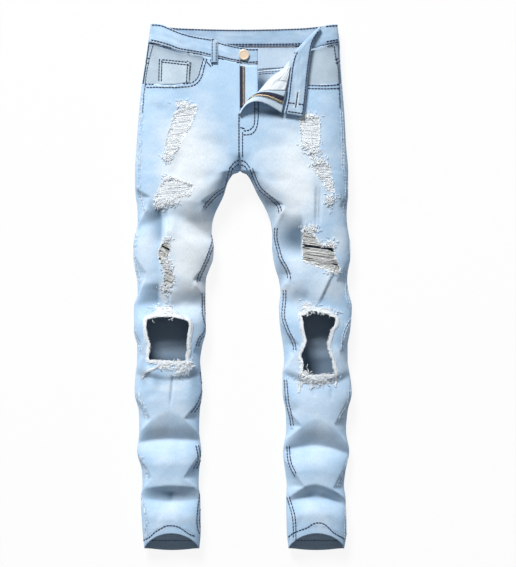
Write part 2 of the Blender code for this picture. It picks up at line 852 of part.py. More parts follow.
def make_facing(leg):
    """The piece that shows in the front pocket's mouth."""
    inner_out = FACING_INNER[leg.name]
    rows = []
    shares = (0, 0.25, 0.5, 0.75, 1)
    for share in shares:
        row = []
        for k in range(FACING_COLUMNS + 1):
            across = mix(-1, leg.across(inner_out, YOKE_LEVEL), (k / FACING_COLUMNS) ** 1.7)
            down = mix(waist_seam(leg, across) + WAIST_GAP + FACING_DROP, FACING_END, share)
            row.append(leg.front(across, down))
        rows.append(row)
    normals = seam_normals(rows, [0] * len(shares), leg)
    for row, directions in zip(rows, normals):
        directions[-1] = directions[-2]
        for j, direction in enumerate(directions):
            row[j] = row[j] - direction * FACING_DROP
    wall("pocket_facing_" + leg.name, rows, material("denim", DENIM), normals=normals)


def make_coin_pocket():
    leg = LEGS["right"]
    rows = []
    for share in (0, 0.5, 1):
        row = []
        for k in range(COIN_COLUMNS + 1):
            out, top = (mix(a, b, k / COIN_COLUMNS) for a, b in zip(COIN_OUTER, COIN_INNER))
            down = mix(top, COIN_BOTTOM, share) * MM
            row.append(leg.front(leg.across(out * MM, down), down))
        rows.append(row)
    normals = grid_normals(rows, leg.side)
    for row, directions in zip(rows, normals):
        for j, direction in enumerate(directions):
            row[j] = row[j] - direction * (FACING_DROP - COIN_POCKET - GAP)
    wall("coin_pocket", rows, material("denim", DENIM), thickness=COIN_POCKET, normals=normals)


def band_station(leg, turn, side):
    """Upper, middle and lower point across the waistband. side is front or back."""
    points = []
    if side == "front":
        rows = BAND_FRONT_RIGHT if leg.name == "right" else BAND_FRONT_LEFT
        for share in (0, 0.5, 1):
            out = leg.out(turn, BAND_LEVEL)
            down = mix(read(rows, "top", out, by="out"), read(rows, "seam", out, by="out"), share)
            points.append(leg.front(leg.across(out, down), down))
    else:
        for share in (0, 0.5, 1):
            out = back_out(leg, turn, BAND_LEVEL)
            down = mix(read(BAND_BACK, "top", out, by="out"), read(BAND_BACK, "seam", out, by="out"), share)
            points.append(leg.back(turn, down))
    return points


def turned_band(place, lift, shares=(0, 0.5, 1)):
    """Points across the waistband's turned end, from its upper edge to its seam."""
    line = line_between(BAND_TURNED, place)
    points = []
    for share in shares:
        out = mix(line["top_out"], line["seam_out"], share)
        down = mix(line["top_down"], line["seam_down"], share)
        points.append(at(out, down, front_height(out, down) + lift))
    return points


def make_waistband():
    right, left = LEGS["right"], LEGS["left"]
    stations = []
    level = front_height(CENTRE_OUT, CENTRE_DOWN)
    for out in BAND_CENTRE:
        top, seam = (read(BAND_FRONT_RIGHT, name, -out * MM, by="out") for name in ("top", "seam"))
        stations.append([at(out * MM, mix(top, seam, share), level) for share in (0, 0.5, 1)])
    stations += [band_station(right, turn, "front") for turn in BAND_RIGHT_TURNS]
    stations += [band_station(right, turn, "back") for turn in BAND_BACK_TURNS]
    stations += [band_station(left, turn, "back") for turn in reversed(BAND_BACK_TURNS)]
    stations += [band_station(left, turn, "front") for turn in BAND_LEFT_TURNS]
    crease = turned_band(0, 0.0)
    stations.append(crease)
    for step in range(1, ROLL_STEPS + 1):
        stations.append([roll(point, BAND_FOLD, step) for point in crease])
    last = len(BAND_TURNED["top_out"]) - 1
    for k in range(1, last + 1):
        stations.append(turned_band(k / last, 2 * BAND_FOLD))
    rows = [list(line) for line in zip(*stations)]
    wall("waistband", rows, material("denim", DENIM), thickness=BAND)


def face_height(out, down):
    """How high the cloth's face lies near the fly, on either side of the centre front seam."""
    leg = LEGS["right" if out < 0 else "left"]
    return leg.height(leg.across(abs(out), down), down) + 0.5 * GAP


def strip(name, look, downs, lefts, rights, drop, thickness, columns=3):
    """A piece that lies below the face of the fly by a drop, row by row."""
    rows = []
    for down, left, right in zip(downs, lefts, rights):
        places = [mix(left, right, k / columns) for k in range(columns + 1)]
        rows.append([at(out, down, face_height(out, down) - drop) for out in places])
    return wall(name, rows, look, thickness=thickness, normals=grid_normals(rows, -1))


def make_fly():
    denim, tape = material("denim", DENIM), material("zip_tape", NAVY)
    brass = material("brass", BRASS, 0.35, 1.0)
    shield = FLY_SHIELD
    strip("fly_shield", denim, shield["down"], shield["left"], shield["right"], SHIELD_DROP, CLOTH)
    count = ZIP_ROWS + 1
    downs = [mix(ZIP_TOP, ZIP_END, k / ZIP_ROWS) for k in range(count)]
    strip("zip_tape_right", tape, downs, [TAPE_START] * count, [TAPE_EDGE] * count, TAPE_DROP, TAPE, 2)
    start, end = TAPE_EDGE + GAP, TAPE_EDGE + GAP + CHAIN_WIDTH
    strip("zip_chain_right", brass, downs, [start] * count, [end] * count, CHAIN_DROP, CHAIN_DEPTH, 1)
    for name, piece in (("zip_slider", SLIDER), ("zip_pull", PULL)):
        lefts, rights = [piece["left"]] * 2, [piece["right"]] * 2
        strip(name, brass, piece["downs"], lefts, rights, piece["drop"], piece["thickness"], 1)


def flap_up(place, share):
    """The direction out of the turned cloth's upper face."""
    step = FLAP_STEP
    along_line = flap_point(place, share + step) - flap_point(place, share - step)
    over_lines = flap_point(place + step, share) - flap_point(place - step, share)
    return along_line.cross(over_lines).normalized()


def on_flap(name, look, places, thickness):
    """A strip on the turned cloth's upper face, from the crease to the waistband."""
    off = CLOTH + FLAP_CLEAR + thickness
    shares = [0.03] + [(1 - SEAM_SHARE) * k / FLAP_STEPS for k in range(1, FLAP_STEPS)] + [0.92]
    rows = [[flap_point(place, share) + flap_up(place, share) * off for share in shares] for place in places]
    return wall(name, rows, look, thickness=thickness, normals=grid_normals(rows))


def make_flap_pieces():
    on_flap("zip_chain_left", material("brass", BRASS, 0.35, 1.0), CHAIN_ON_FLAP, CHAIN_DEPTH)
    on_flap("zip_tape_left", material("zip_tape", NAVY), TAPE_ON_FLAP, TAPE)
    on_flap("fly_facing", material("denim_inside", DENIM_INSIDE), FACING_ON_FLAP, CLOTH)
    on_flap("pocket_bag", material("pocketing", WHITE), BAG_ON_FLAP, POCKET_BAG)


def plate(name, outline, low, high, look):
    """A flat plate between two heights, from its outline of (out, down) places."""
    mesh = bmesh.new()
    ring = [mesh.verts.new(at(out, down, low)) for out, down in outline]
    under = mesh.faces.new(ring)
    raised = bmesh.ops.extrude_face_region(mesh, geom=[under])["geom"]
    verts = [item for item in raised if isinstance(item, bmesh.types.BMVert)]
    bmesh.ops.translate(mesh, verts=verts, vec=(0, 0, high - low))
    bmesh.ops.recalc_face_normals(mesh, faces=mesh.faces)
    return finish(name, mesh, look)


def make_loops():
    look = material("denim", DENIM)
    for name, out in BACK_LOOPS.items():
        top = read(BAND_BACK, "top", abs(out), by="out") - LOOP_OVER
        left, right = out - 0.5 * LOOP_WIDTH, out + 0.5 * LOOP_WIDTH
        corners = ((left, top), (right, top), (right, top + LOOP_LENGTH), (left, top + LOOP_LENGTH))
        plate("belt_loop_" + name, corners, 0.0, LOOP_THICK, look)
    leg = LEGS["right"]
    rows = []
    for k in range(5):
        row = []
        for out in FRONT_LOOP_OUTS:
            top, seam = (read(BAND_FRONT_RIGHT, name, out, by="out") for name in ("top", "seam"))
            down = mix(top - FRONT_LOOP_OVER, seam + FRONT_LOOP_UNDER, k / 4)
            point = leg.front(leg.across(out, down), down)
            row.append(point + Vector((0, 0, LOOP_RISE + LOOP_THICK)))
        rows.append(row)
    wall("belt_loop_front_right", rows, look, thickness=LOOP_THICK, normals=grid_normals(rows, -1))
    under = 2 * BAND_FOLD - LOOP_RISE
    lines = [turned_band(place, under, TURNED_LOOP_SHARES) for place in TURNED_LOOP]
    wall("belt_loop_front_left", lines, look, thickness=LOOP_THICK, normals=grid_normals(lines))


def make_button():
    mesh = bmesh.new()
    bmesh.ops.create_cone(
        mesh,
        cap_ends=True,
        segments=BUTTON_SIDES,
        radius1=BUTTON_RADIUS,
        radius2=BUTTON_RADIUS,
        depth=BUTTON_HEIGHT,
    )
    seat = front_height(CENTRE_OUT, CENTRE_DOWN) + BUTTON_SEAT
    bmesh.ops.translate(mesh, verts=mesh.verts, vec=at(BUTTON_OUT, BUTTON_DOWN, seat + 0.5 * BUTTON_HEIGHT))
    rim = [edge for edge in mesh.edges if all(v.co.z > seat + 0.5 * BUTTON_HEIGHT for v in edge.verts)]
    bmesh.ops.bevel(mesh, geom=rim, offset=BUTTON_RIM, segments=2, profile=0.5, affect="EDGES")
    finish("button", mesh, material("cream_metal", CREAM, 0.3, 0.4))


def make_back_pocket(leg):
    outline = [
        ((leg.side * BACK_POCKET_OUT + out) * MM, (BACK_POCKET_DOWN + down) * MM) for out, down in BACK_POCKET
    ]
    plate("back_pocket_" + leg.name, outline, 0.0, POCKET, material("denim", DENIM))


for leg in LEGS.values():
    make_back(leg)
    make_yoke(leg)
    make_back_pocket(leg)
    make_facing(leg)
make_front_right()
make_front_left()
make_coin_pocket()
make_waistband()
make_fly()
make_flap_pieces()
make_loops()
make_button()
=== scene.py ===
import bisect
import math
import random

import bmesh
import bpy
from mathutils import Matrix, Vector, noise
from mathutils.bvhtree import BVHTree


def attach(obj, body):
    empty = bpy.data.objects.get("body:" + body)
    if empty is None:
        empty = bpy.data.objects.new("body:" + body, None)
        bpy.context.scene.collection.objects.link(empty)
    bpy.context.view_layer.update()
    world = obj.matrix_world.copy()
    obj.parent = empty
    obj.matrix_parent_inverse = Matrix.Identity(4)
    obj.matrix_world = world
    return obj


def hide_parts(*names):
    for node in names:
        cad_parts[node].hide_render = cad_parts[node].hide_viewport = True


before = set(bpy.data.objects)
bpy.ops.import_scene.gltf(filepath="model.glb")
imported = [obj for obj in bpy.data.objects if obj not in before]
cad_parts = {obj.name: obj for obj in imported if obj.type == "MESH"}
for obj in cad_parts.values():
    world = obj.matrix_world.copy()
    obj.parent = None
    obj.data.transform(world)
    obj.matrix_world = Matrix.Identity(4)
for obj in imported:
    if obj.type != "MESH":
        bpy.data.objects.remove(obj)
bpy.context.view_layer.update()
mm = 0.001
random.seed(5)

# the camera looks straight down on the laid jeans
view = {"height": 4.0, "aimX": 0.0293, "aimY": 0.0075, "shown": 1.0773, "level": 0.03}

camera = bpy.data.objects.new("camera", bpy.data.cameras.new("camera"))
bpy.context.scene.collection.objects.link(camera)
camera.location = (view["aimX"], view["aimY"], view["height"])
camera.data.sensor_width = 36
camera.data.lens = 36 * (view["height"] - view["level"]) / view["shown"]
camera.data.clip_end = 20
bpy.context.scene.camera = camera


def table(names, *rows):
    return {name: [row[k] * mm for row in rows] for k, name in enumerate(names.split())}


def folds(names, *rows):
    return [dict(zip(names.split(), row)) for row in rows]


# out is the distance from the centre front seam, down the distance from the top of the waistband
form = {
    "seamX": -0.0049,
    "waistY": 0.50337,
    "gap": 0.3 * mm,
    "waistGap": 0.5 * mm,
    "seat": 1.9 * mm,  # room for the back pockets and loops
    "crotch": 284 * mm,
    "flatRow": 192 * mm,  # from here down the rows run straight across
    "hemRow": 945 * mm,
    "sideRound": 15 * mm,
    "seamDip": 1 * mm,
    "domeFlat": 2.5,
    "domeRound": 0.5,
    "backFlat": 0.7,  # the share of the back that lies flat, and the share that turns up to a side
    "backRound": 0.3,
    "halfHip": 95 * mm,
    "denim": 1.1 * mm,
    "band": 2.3 * mm,
    "unevenness": ((0.7, 34, 0), (0.25, 11, 4)),  # height, size and seed of the cloth's soft waves
}
# how the halves join at the crotch: how far down each change starts, and how far down it then takes
crotchForm = {
    "seat": (262 * mm, 50 * mm),
    "join": 246 * mm,
    "joinPast": 8 * mm,
    "under": (225 * mm, 67 * mm),
    "close": (225 * mm, 50 * mm),
    "open": (296 * mm, 60 * mm),
    "width": 34 * mm,
}
heights = table(
    "down  crown  edge", (0, 38, 17), (60, 44, 18), (130, 50, 19), (230, 54, 20), (300, 55, 20),
    (380, 53, 20), (470, 51, 19), (600, 48, 18), (740, 46, 17), (860, 43, 16), (945, 41, 16),
    (1006, 37, 15),
)
widths = {
    "right": table(
        "down  outer  inner", (0, 170, 0), (41, 176, 0), (83, 182, 0), (124, 188, 0), (176, 193, 0),
        (233, 197, 0), (284, 200, 0), (285, 200, 7), (288, 200, 13), (294, 200, 18), (305, 200, 24),
        (328, 199, 31), (347, 196, 40), (364, 195, 48), (383, 195, 53), (402, 200, 54), (425, 203, 50),
        (447, 203, 51), (470, 200, 59), (489, 196, 65), (514, 195, 66), (540, 202, 66), (586, 202, 65),
        (615, 196, 72), (643, 196, 76), (668, 199, 74), (704, 201, 72), (740, 193, 77), (776, 192, 78),
        (816, 196, 74), (854, 187, 78), (881, 186, 79), (903, 189, 76), (968, 186, 75), (1006, 182, 78),
    ),
    "left": table(
        "down  outer  inner", (0, 185, 0), (41, 190, 0), (83, 192, 0), (124, 195, 0), (176, 199, 0),
        (233, 202, 0), (284, 206, 0), (285, 206, 7), (288, 206, 12), (294, 206, 17), (305, 206, 23),
        (328, 206, 34), (347, 204, 45), (364, 203, 53), (383, 204, 59), (402, 207, 61), (425, 210, 61),
        (447, 210, 63), (470, 206, 68), (489, 204, 74), (514, 207, 77), (540, 213, 74), (584, 210, 77),
        (615, 205, 82), (643, 205, 84), (668, 209, 81), (704, 213, 81), (740, 205, 87), (776, 202, 88),
        (816, 208, 82), (854, 201, 86), (881, 198, 89), (903, 201, 88), (968, 203, 89), (1006, 198, 93),
    ),
}
# folds across a leg, each value at the outer side, the middle and the inner side: the line of the bottom,
# how far the cloth falls to it and rises from it, and the share of the height lost; then how much of the
# fall lies near the top, and how soft the bottom is
valleys = {
    "right": folds(
        "line  fall  rise  depth  top  round",
        ((390, 368, 414), (44, 24, 60), (40, 30, 44), (0.35, 0.15, 0.8), 0.3, 6),
        ((540, 536, 536), (24, 50, 30), (30, 30, 30), (0.6, 0.4, 0.6), 0.15, 8),
        ((668, 680, 668), (16, 10, 16), (40, 40, 40), (0.4, 0.1, 0.4), 0.0, 3),
        ((799, 792, 796), (18, 52, 20), (42, 46, 42), (0.6, 0.62, 0.7), 0.2, 2),
        ((904, 910, 906), (16, 30, 20), (34, 34, 34), (0.5, 0.55, 0.5), 0.8, 2),
    ),
    "left": folds(
        "line  fall  rise  depth  top  round",
        ((430, 425, 420), (60, 50, 60), (40, 40, 46), (0.0, 0.1, 0.4), 0.3, 14),
        ((540, 536, 530), (40, 40, 26), (34, 34, 34), (0.35, 0.15, 0.4), 0.3, 10),
        ((672, 688, 668), (16, 10, 16), (40, 40, 40), (0.4, 0.1, 0.4), 0.0, 3),
        ((822, 804, 814), (22, 50, 20), (44, 44, 44), (0.7, 0.62, 0.6), 0.2, 2),
        ((918, 902, 912), (14, 24, 16), (30, 30, 30), (0.5, 0.5, 0.5), 0.7, 2),
    ),
}
# dents pushed in at a leg's sides: the start, the tip, how far it reaches in, and the end
dents = {
    "right": {
        "outer": (
            (314, 332, 30, 388), (436, 476, 22, 524), (574, 632, 15, 654), (712, 752, 24, 780),
            (822, 864, 20, 890),
        ),
        "inner": (
            (306, 340, 37, 408), (447, 489, 25, 522), (584, 626, 15, 650), (716, 752, 29, 782),
            (814, 864, 29, 888),
        ),
    },
    "left": {
        "outer": (
            (318, 350, 16, 380), (446, 492, 22, 548), (560, 630, 16, 664), (706, 764, 24, 802),
            (836, 885, 22, 906),
        ),
        "inner": (
            (318, 346, 40, 394), (424, 478, 28, 506), (570, 612, 32, 662), (732, 766, 30, 792),
            (830, 881, 34, 904),
        ),
    },
}
# creases: a line, its height above the cloth, its reach on the inner and the outer side, and 1 where
# it is sharp
creases = {
    "right": (
        (150, 348, 151, 428, -6.5, 3, 22, 1), (133, 352, 140, 420, 3.0, 14, 4, 0),
        (142, 350, 131, 398, -2.2, 4, 3, 0), (171, 350, 194, 378, 3.5, 9, 6, 1),
        (155, 494, 156, 544, -5.5, 3, 22, 1), (128, 500, 132, 540, 2.6, 14, 4, 0),
        (178, 484, 196, 530, 2.6, 8, 6, 1), (88, 494, 68, 514, 2.6, 6, 8, 1),
        (70, 345, 56, 400, 3.0, 6, 9, 1), (126, 662, 132, 730, -3.6, 2, 2, 1),
        (100, 640, 84, 662, 2.4, 6, 10, 1), (168, 650, 194, 676, 3.0, 12, 4, 1),
        (176, 600, 190, 622, 1.6, 5, 8, 0), (131, 890, 131, 916, -3.2, 7, 7, 1),
        (176, 150, 138, 172, -1.2, 9, 9, 0), (15, 240, 92, 216, -0.9, 9, 14, 0),
        (40, 290, 92, 296, -1.0, 9, 12, 0), (160, 700, 186, 716, -1.4, 8, 8, 0),
        (120, 930, 100, 962, -1.0, 5, 7, 0), (150, 930, 168, 958, -1.0, 5, 7, 0),
        (112, 240, 128, 300, -1.2, 8, 8, 0), (108, 60, 112, 180, -0.8, 12, 12, 0),
    ),
    "left": (
        (117, 366, 114, 454, -6.5, 44, 3, 1), (145, 308, 144, 388, -4.5, 2, 2, 1),
        (151, 312, 150, 386, -4.0, 2, 2, 1), (194, 318, 192, 366, -1.8, 3, 3, 1),
        (200, 312, 199, 360, -1.5, 3, 3, 1), (183, 464, 147, 542, 4.0, 12, 24, 1),
        (183, 464, 147, 542, -4.5, 1.5, 20, 1), (86, 348, 66, 392, 3.0, 9, 6, 1),
        (94, 490, 76, 520, 2.4, 8, 6, 1), (98, 516, 135, 524, -2.2, 10, 10, 0),
        (139, 688, 141, 712, -1.6, 3, 3, 1), (173, 692, 173, 720, -1.6, 3, 3, 1),
        (204, 562, 196, 640, 2.0, 4, 8, 1), (180, 610, 206, 664, 2.6, 12, 5, 1),
        (106, 622, 84, 664, 2.4, 5, 10, 1), (93, 909, 146, 898, -2.6, 5, 4, 1),
        (146, 898, 199, 916, -2.6, 5, 4, 1), (20, 246, 96, 226, -0.9, 9, 14, 0),
        (44, 296, 100, 300, -1.0, 9, 12, 0), (110, 726, 96, 742, -1.4, 7, 7, 0),
        (120, 934, 104, 966, -1.0, 5, 7, 0), (168, 932, 182, 964, -1.0, 5, 7, 0),
        (60, 196, 130, 214, -0.9, 9, 12, 0),
    ),
}
seatCreases = (
    (30, 300, 150, 340, 2.2, 9, 14, 0), (40, 330, 140, 382, 1.6, 8, 10, 0),
    (70, 560, 190, 540, 2.0, 10, 12, 0), (80, 600, 180, 612, 2.4, 9, 12, 0),
    (90, 642, 190, 634, 1.8, 8, 12, 0), (84, 800, 180, 812, 1.8, 10, 12, 0),
    (90, 900, 180, 890, 1.6, 9, 12, 0),
)
# worn pale places, and a few spots of painted light that lift the shade on folds: centre, reach and strength
paleWearAndLight = {
    "right": (
        (96, 275, 56, 98, 1.15), (92, 440, 50, 110, 1.1), (134, 750, 46, 130, 0.3),
        (132, 925, 36, 60, 0.2), (176, 425, 22, 50, 0.5), (144, 516, 8, 24, 0.9), (138, 694, 34, 9, 0.6),
    ),
    "left": (
        (100, 300, 60, 100, 0.95), (112, 460, 56, 100, 0.4), (148, 750, 48, 130, 0.3),
        (150, 925, 36, 60, 0.2), (178, 510, 20, 22, 0.6), (188, 404, 16, 40, 0.5),
    ),
}
# painted shade in the folds and under the turned cloth, by the same columns
paintedShades = {
    "right": (
        (163, 362, 16, 22, 0.35), (86, 374, 24, 14, 0.38), (92, 516, 24, 14, 0.3),
        (142, 545, 40, 10, 0.1), (146, 778, 46, 12, 0.32), (133, 895, 44, 9, 0.58),
        (183, 672, 9, 20, 0.35), (158, 680, 9, 20, 0.3), (86, 682, 10, 24, 0.4), (58, 902, 12, 6, 0.2),
    ),
    "left": (
        (102, 405, 26, 22, 0.5), (58, 350, 20, 20, 0.3), (78, 472, 12, 22, 0.4), (112, 524, 24, 12, 0.25),
        (64, 174, 28, 8, 0.9), (142, 897, 34, 9, 0.42), (145, 782, 40, 14, 0.3),
    ),
}
bandFront = {
    "right": table(
        "out  top  seam", (-34, 51, 80), (-19, 51, 81), (0, 48, 78), (19, 44, 75), (38, 39, 70),
        (57, 32, 67), (76, 29, 62), (95, 25, 59), (114, 19, 56), (133, 11, 49), (152, 3, 43),
        (172, 1, 37),
    ),
    "left": table(
        "out  top  seam", (0, 48, 78), (76, 30, 66), (106, 24, 59), (139, 15, 50), (165, 5, 42),
        (186, 2, 37),
    ),
}
bandBack = table("out  top  seam", (0, 11, 43), (60, 10, 43), (120, 8, 42), (155, 5, 40), (190, 2, 37))
bandTurned = table(
    "topOut  topDown  seamOut  seamDown", (153, 12, 105, 62), (138, 38, 100, 74), (132, 71, 96, 94),
    (128, 104, 93, 118), (124, 146, 90, 144), (120, 181, 83, 175),
)
flap = table(
    "creaseOut  creaseDown  seamOut  seamDown  bump  lift", (1, 177, 81, 176, 23, 13),
    (15, 156, 85, 154, 15, 10), (25, 146, 88, 144, 9, 7), (36, 138, 90, 128, 4, 5),
    (61, 110, 92, 112, 1, 3), (84, 93, 93, 97, 0, 1), (95, 79, 97, 84, 0, 0),
)
mouth = table(
    "out  down", (186, 116), (165, 118), (143, 120), (124, 120), (105, 117), (90, 115), (81, 108),
    (77, 100), (73, 82), (68, 65),
)
yokeSeam = table("out  down", (0, 93), (100, 82), (206, 72))

# rips, each an outline of out and down in mm. tilt is how much a bare thread falls as it runs outwards,
# pitch the space between the threads, 0 in a plain hole, and bare the share of them that is gone
rips = {
    "right": {
        "thigh": dict(
            outline=(
                (118, 172), (95, 162), (82, 161), (86, 176), (93, 195), (103, 210), (110, 225),
                (120, 244), (131, 252), (141, 250), (141, 238), (137, 219), (129, 197), (124, 178),
            ),
            tilt=0.12, pitch=1.05, bare=0.06,
        ),
        "fold": dict(
            outline=(
                (146, 307), (142, 299), (133, 296), (120, 299), (108, 305), (95, 308), (89, 313),
                (95, 328), (103, 328), (112, 330), (122, 333), (131, 339), (142, 343), (160, 343),
                (160, 337), (154, 322),
            ),
            tilt=0.03, pitch=0.95, bare=0.03,
        ),
        "pleat": dict(
            outline=(
                (146, 419), (137, 417), (131, 425), (133, 436), (137, 447), (133, 457), (131, 466),
                (125, 482), (125, 495), (133, 501), (146, 503), (144, 491), (142, 478), (146, 463),
                (152, 451), (154, 438), (150, 428),
            ),
            tilt=-0.55, pitch=1.2, bare=0.36,
        ),
        "knee": dict(
            outline=(
                (177, 563), (167, 560), (152, 558), (133, 557), (118, 559), (104, 563), (97, 567),
                (95, 577), (97, 590), (99, 607), (99, 622), (101, 632), (104, 643), (133, 643),
                (162, 642), (173, 641), (173, 626), (171, 613), (175, 599), (178, 584), (179, 571),
            ),
            tilt=0, pitch=0, bare=1,
        ),
    },
    "left": {
        "thigh": dict(
            outline=(
                (112, 185), (125, 181), (141, 181), (150, 185), (150, 210), (149, 233), (137, 237),
                (122, 235), (118, 225), (115, 204),
            ),
            tilt=0.05, pitch=1.05, bare=0.06,
        ),
        "nick": dict(
            outline=((131, 246), (144, 246), (142, 256), (139, 259), (133, 256)), tilt=0.1, pitch=2.2,
            bare=0.3,
        ),
        "fold": dict(
            outline=(
                (137, 271), (148, 267), (163, 269), (169, 276), (173, 295), (177, 313), (179, 322),
                (171, 320), (162, 313), (154, 299), (146, 286), (139, 278),
            ),
            tilt=0.08, pitch=1.1, bare=0.08,
        ),
        "slant": dict(
            outline=(
                (118, 398), (124, 394), (131, 400), (141, 406), (148, 419), (162, 425), (177, 423),
                (179, 444), (184, 455), (190, 470), (182, 476), (171, 472), (162, 466), (152, 465),
                (142, 459), (133, 457), (120, 451), (118, 432),
            ),
            tilt=0.14, pitch=1.2, bare=0.34,
        ),
        "knee": dict(
            outline=(
                (114, 554), (122, 554), (129, 548), (137, 546), (148, 547), (162, 550), (171, 556),
                (182, 561), (180, 575), (175, 582), (171, 592), (167, 607), (167, 617), (171, 630),
                (175, 641), (177, 653), (180, 668), (152, 669), (133, 670), (122, 668), (118, 664),
                (118, 645), (114, 634), (118, 622), (122, 613), (124, 603), (122, 594), (119, 580),
                (118, 565),
            ),
            tilt=0, pitch=0, bare=1,
        ),
    },
}


# white tufts: the middle, the spread both ways, the count of curled threads and their length
tufts = {
    "right": (
        (108, 158, 10, 6, 90, 7), (137, 259, 6, 4, 90, 7), (133, 344, 12, 3, 60, 6),
        (152, 346, 6, 6, 110, 7), (134, 296, 8, 2.5, 50, 5), (138, 462, 6, 7, 110, 7),
        (138, 505, 6, 5, 90, 7), (140, 412, 4, 3, 40, 6), (144, 548, 14, 7, 150, 7),
        (143, 652, 9, 5, 120, 7), (112, 658, 7, 7, 120, 7), (96, 650, 5, 5, 60, 7),
    ),
    "left": (
        (130, 178, 9, 3, 60, 6), (140, 244, 8, 6, 130, 7), (124, 236, 6, 4, 60, 6),
        (150, 264, 8, 4, 90, 6), (170, 338, 6, 7, 110, 7), (135, 392, 9, 4, 110, 6),
        (170, 420, 8, 3, 70, 6), (176, 474, 7, 3, 60, 6), (128, 542, 9, 6, 130, 7),
        (160, 548, 12, 4, 110, 7), (146, 680, 20, 5, 240, 8), (122, 668, 5, 6, 70, 7),
    ),
}


def read(rows, name, place, by="down"):  # between a table's rows, never past them
    xs, ys = rows[by], rows[name]
    if place <= xs[0]:
        return ys[0]
    if place >= xs[-1]:
        return ys[-1]
    k = bisect.bisect_right(xs, place) - 1
    width = xs[k + 1] - xs[k]
    rise = (ys[k + 1] - ys[k]) / width

    def slope(i):
        if i == 0 or i == len(xs) - 1:
            return rise
        before = (ys[i] - ys[i - 1]) / (xs[i] - xs[i - 1])
        after = (ys[i + 1] - ys[i]) / (xs[i + 1] - xs[i])
        return 0.0 if before * after <= 0 else 2 * before * after / (before + after)

    u = (place - xs[k]) / width
    start, end = slope(k) * width, slope(k + 1) * width
    step = ys[k + 1] - ys[k]
    return ys[k] + u * (start + u * ((3 * step - 2 * start - end) + u * (start + end - 2 * step)))


def lineBetween(rows, place):  # a line between a table's rows, from 0 at the first to 1 at the last
    marks = dict(rows)
    count = len(next(iter(rows.values())))
    marks["place"] = [k / (count - 1) for k in range(count)]
    return {name: read(marks, name, place, by="place") for name in rows}


def mix(a, b, share):
    return a + (b - a) * share


def within(x, low=0.0, high=1.0):
    return min(max(x, low), high)


def smooth(x):
    x = within(x)
    return x * x * (3 - 2 * x)


def bell(x):  # 1 at 0, falling away on both sides
    return math.exp(-(x**2))


def linspace(start, end, count):
    return [mix(start, end, k / (count - 1)) for k in range(count)]


def at(out, down, z):
    return Vector((form["seamX"] + out, form["waistY"] - down, z))


def outDown(point):  # a point's place on the jeans, in mm
    return (point.x - form["seamX"]) / mm, (form["waistY"] - point.y) / mm


def rumple(x, y, size, seed=0):  # soft unevenness, from about -1 to 1
    return noise.noise(Vector((x / size, y / size, seed)))


def along(points, count, ease=1.0):  # (across, down) places spread along a broken line
    marks = [0.0]
    for a, b in zip(points, points[1:]):
        marks.append(marks[-1] + math.hypot(form["halfHip"] * (b[0] - a[0]), b[1] - a[1]))
    found = []
    for i in range(count):
        place = marks[-1] * (i / (count - 1)) ** ease
        k = min(bisect.bisect_right(marks, place), len(marks) - 1) - 1
        share = (place - marks[k]) / (marks[k + 1] - marks[k])
        found.append(tuple(mix(a, b, share) for a, b in zip(points[k], points[k + 1])))
    return found


creaseForm = {"margin": 60, "ends": 0.3, "limit": 6, "edge": 0.15, "taper": 2.6}


def creaseRise(rows, out, down):
    rise = 0.0
    for startOut, startDown, endOut, endDown, height, near, far, sharp in rows:
        if abs(down - 0.5 * (startDown + endDown)) >= 0.5 * abs(endDown - startDown) + creaseForm["margin"]:
            continue
        lineOut, lineDown = endOut - startOut, endDown - startDown
        length = math.hypot(lineOut, lineDown)
        share = ((out - startOut) * lineOut + (down - startDown) * lineDown) / length**2
        off = ((out - startOut) * lineDown - (down - startDown) * lineOut) / length
        past = max(-share, share - 1, 0.0) * length + 0.01
        reach = (off / (far if off > 0 else near)) ** 2 + (past / (creaseForm["ends"] * length)) ** 2
        if reach < creaseForm["limit"]:
            taper = smooth(creaseForm["edge"] + creaseForm["taper"] * max(min(share, 1 - share), 0.0))
            rise += height * mm * math.exp(-(reach**0.6 if sharp else reach)) * taper
    return rise


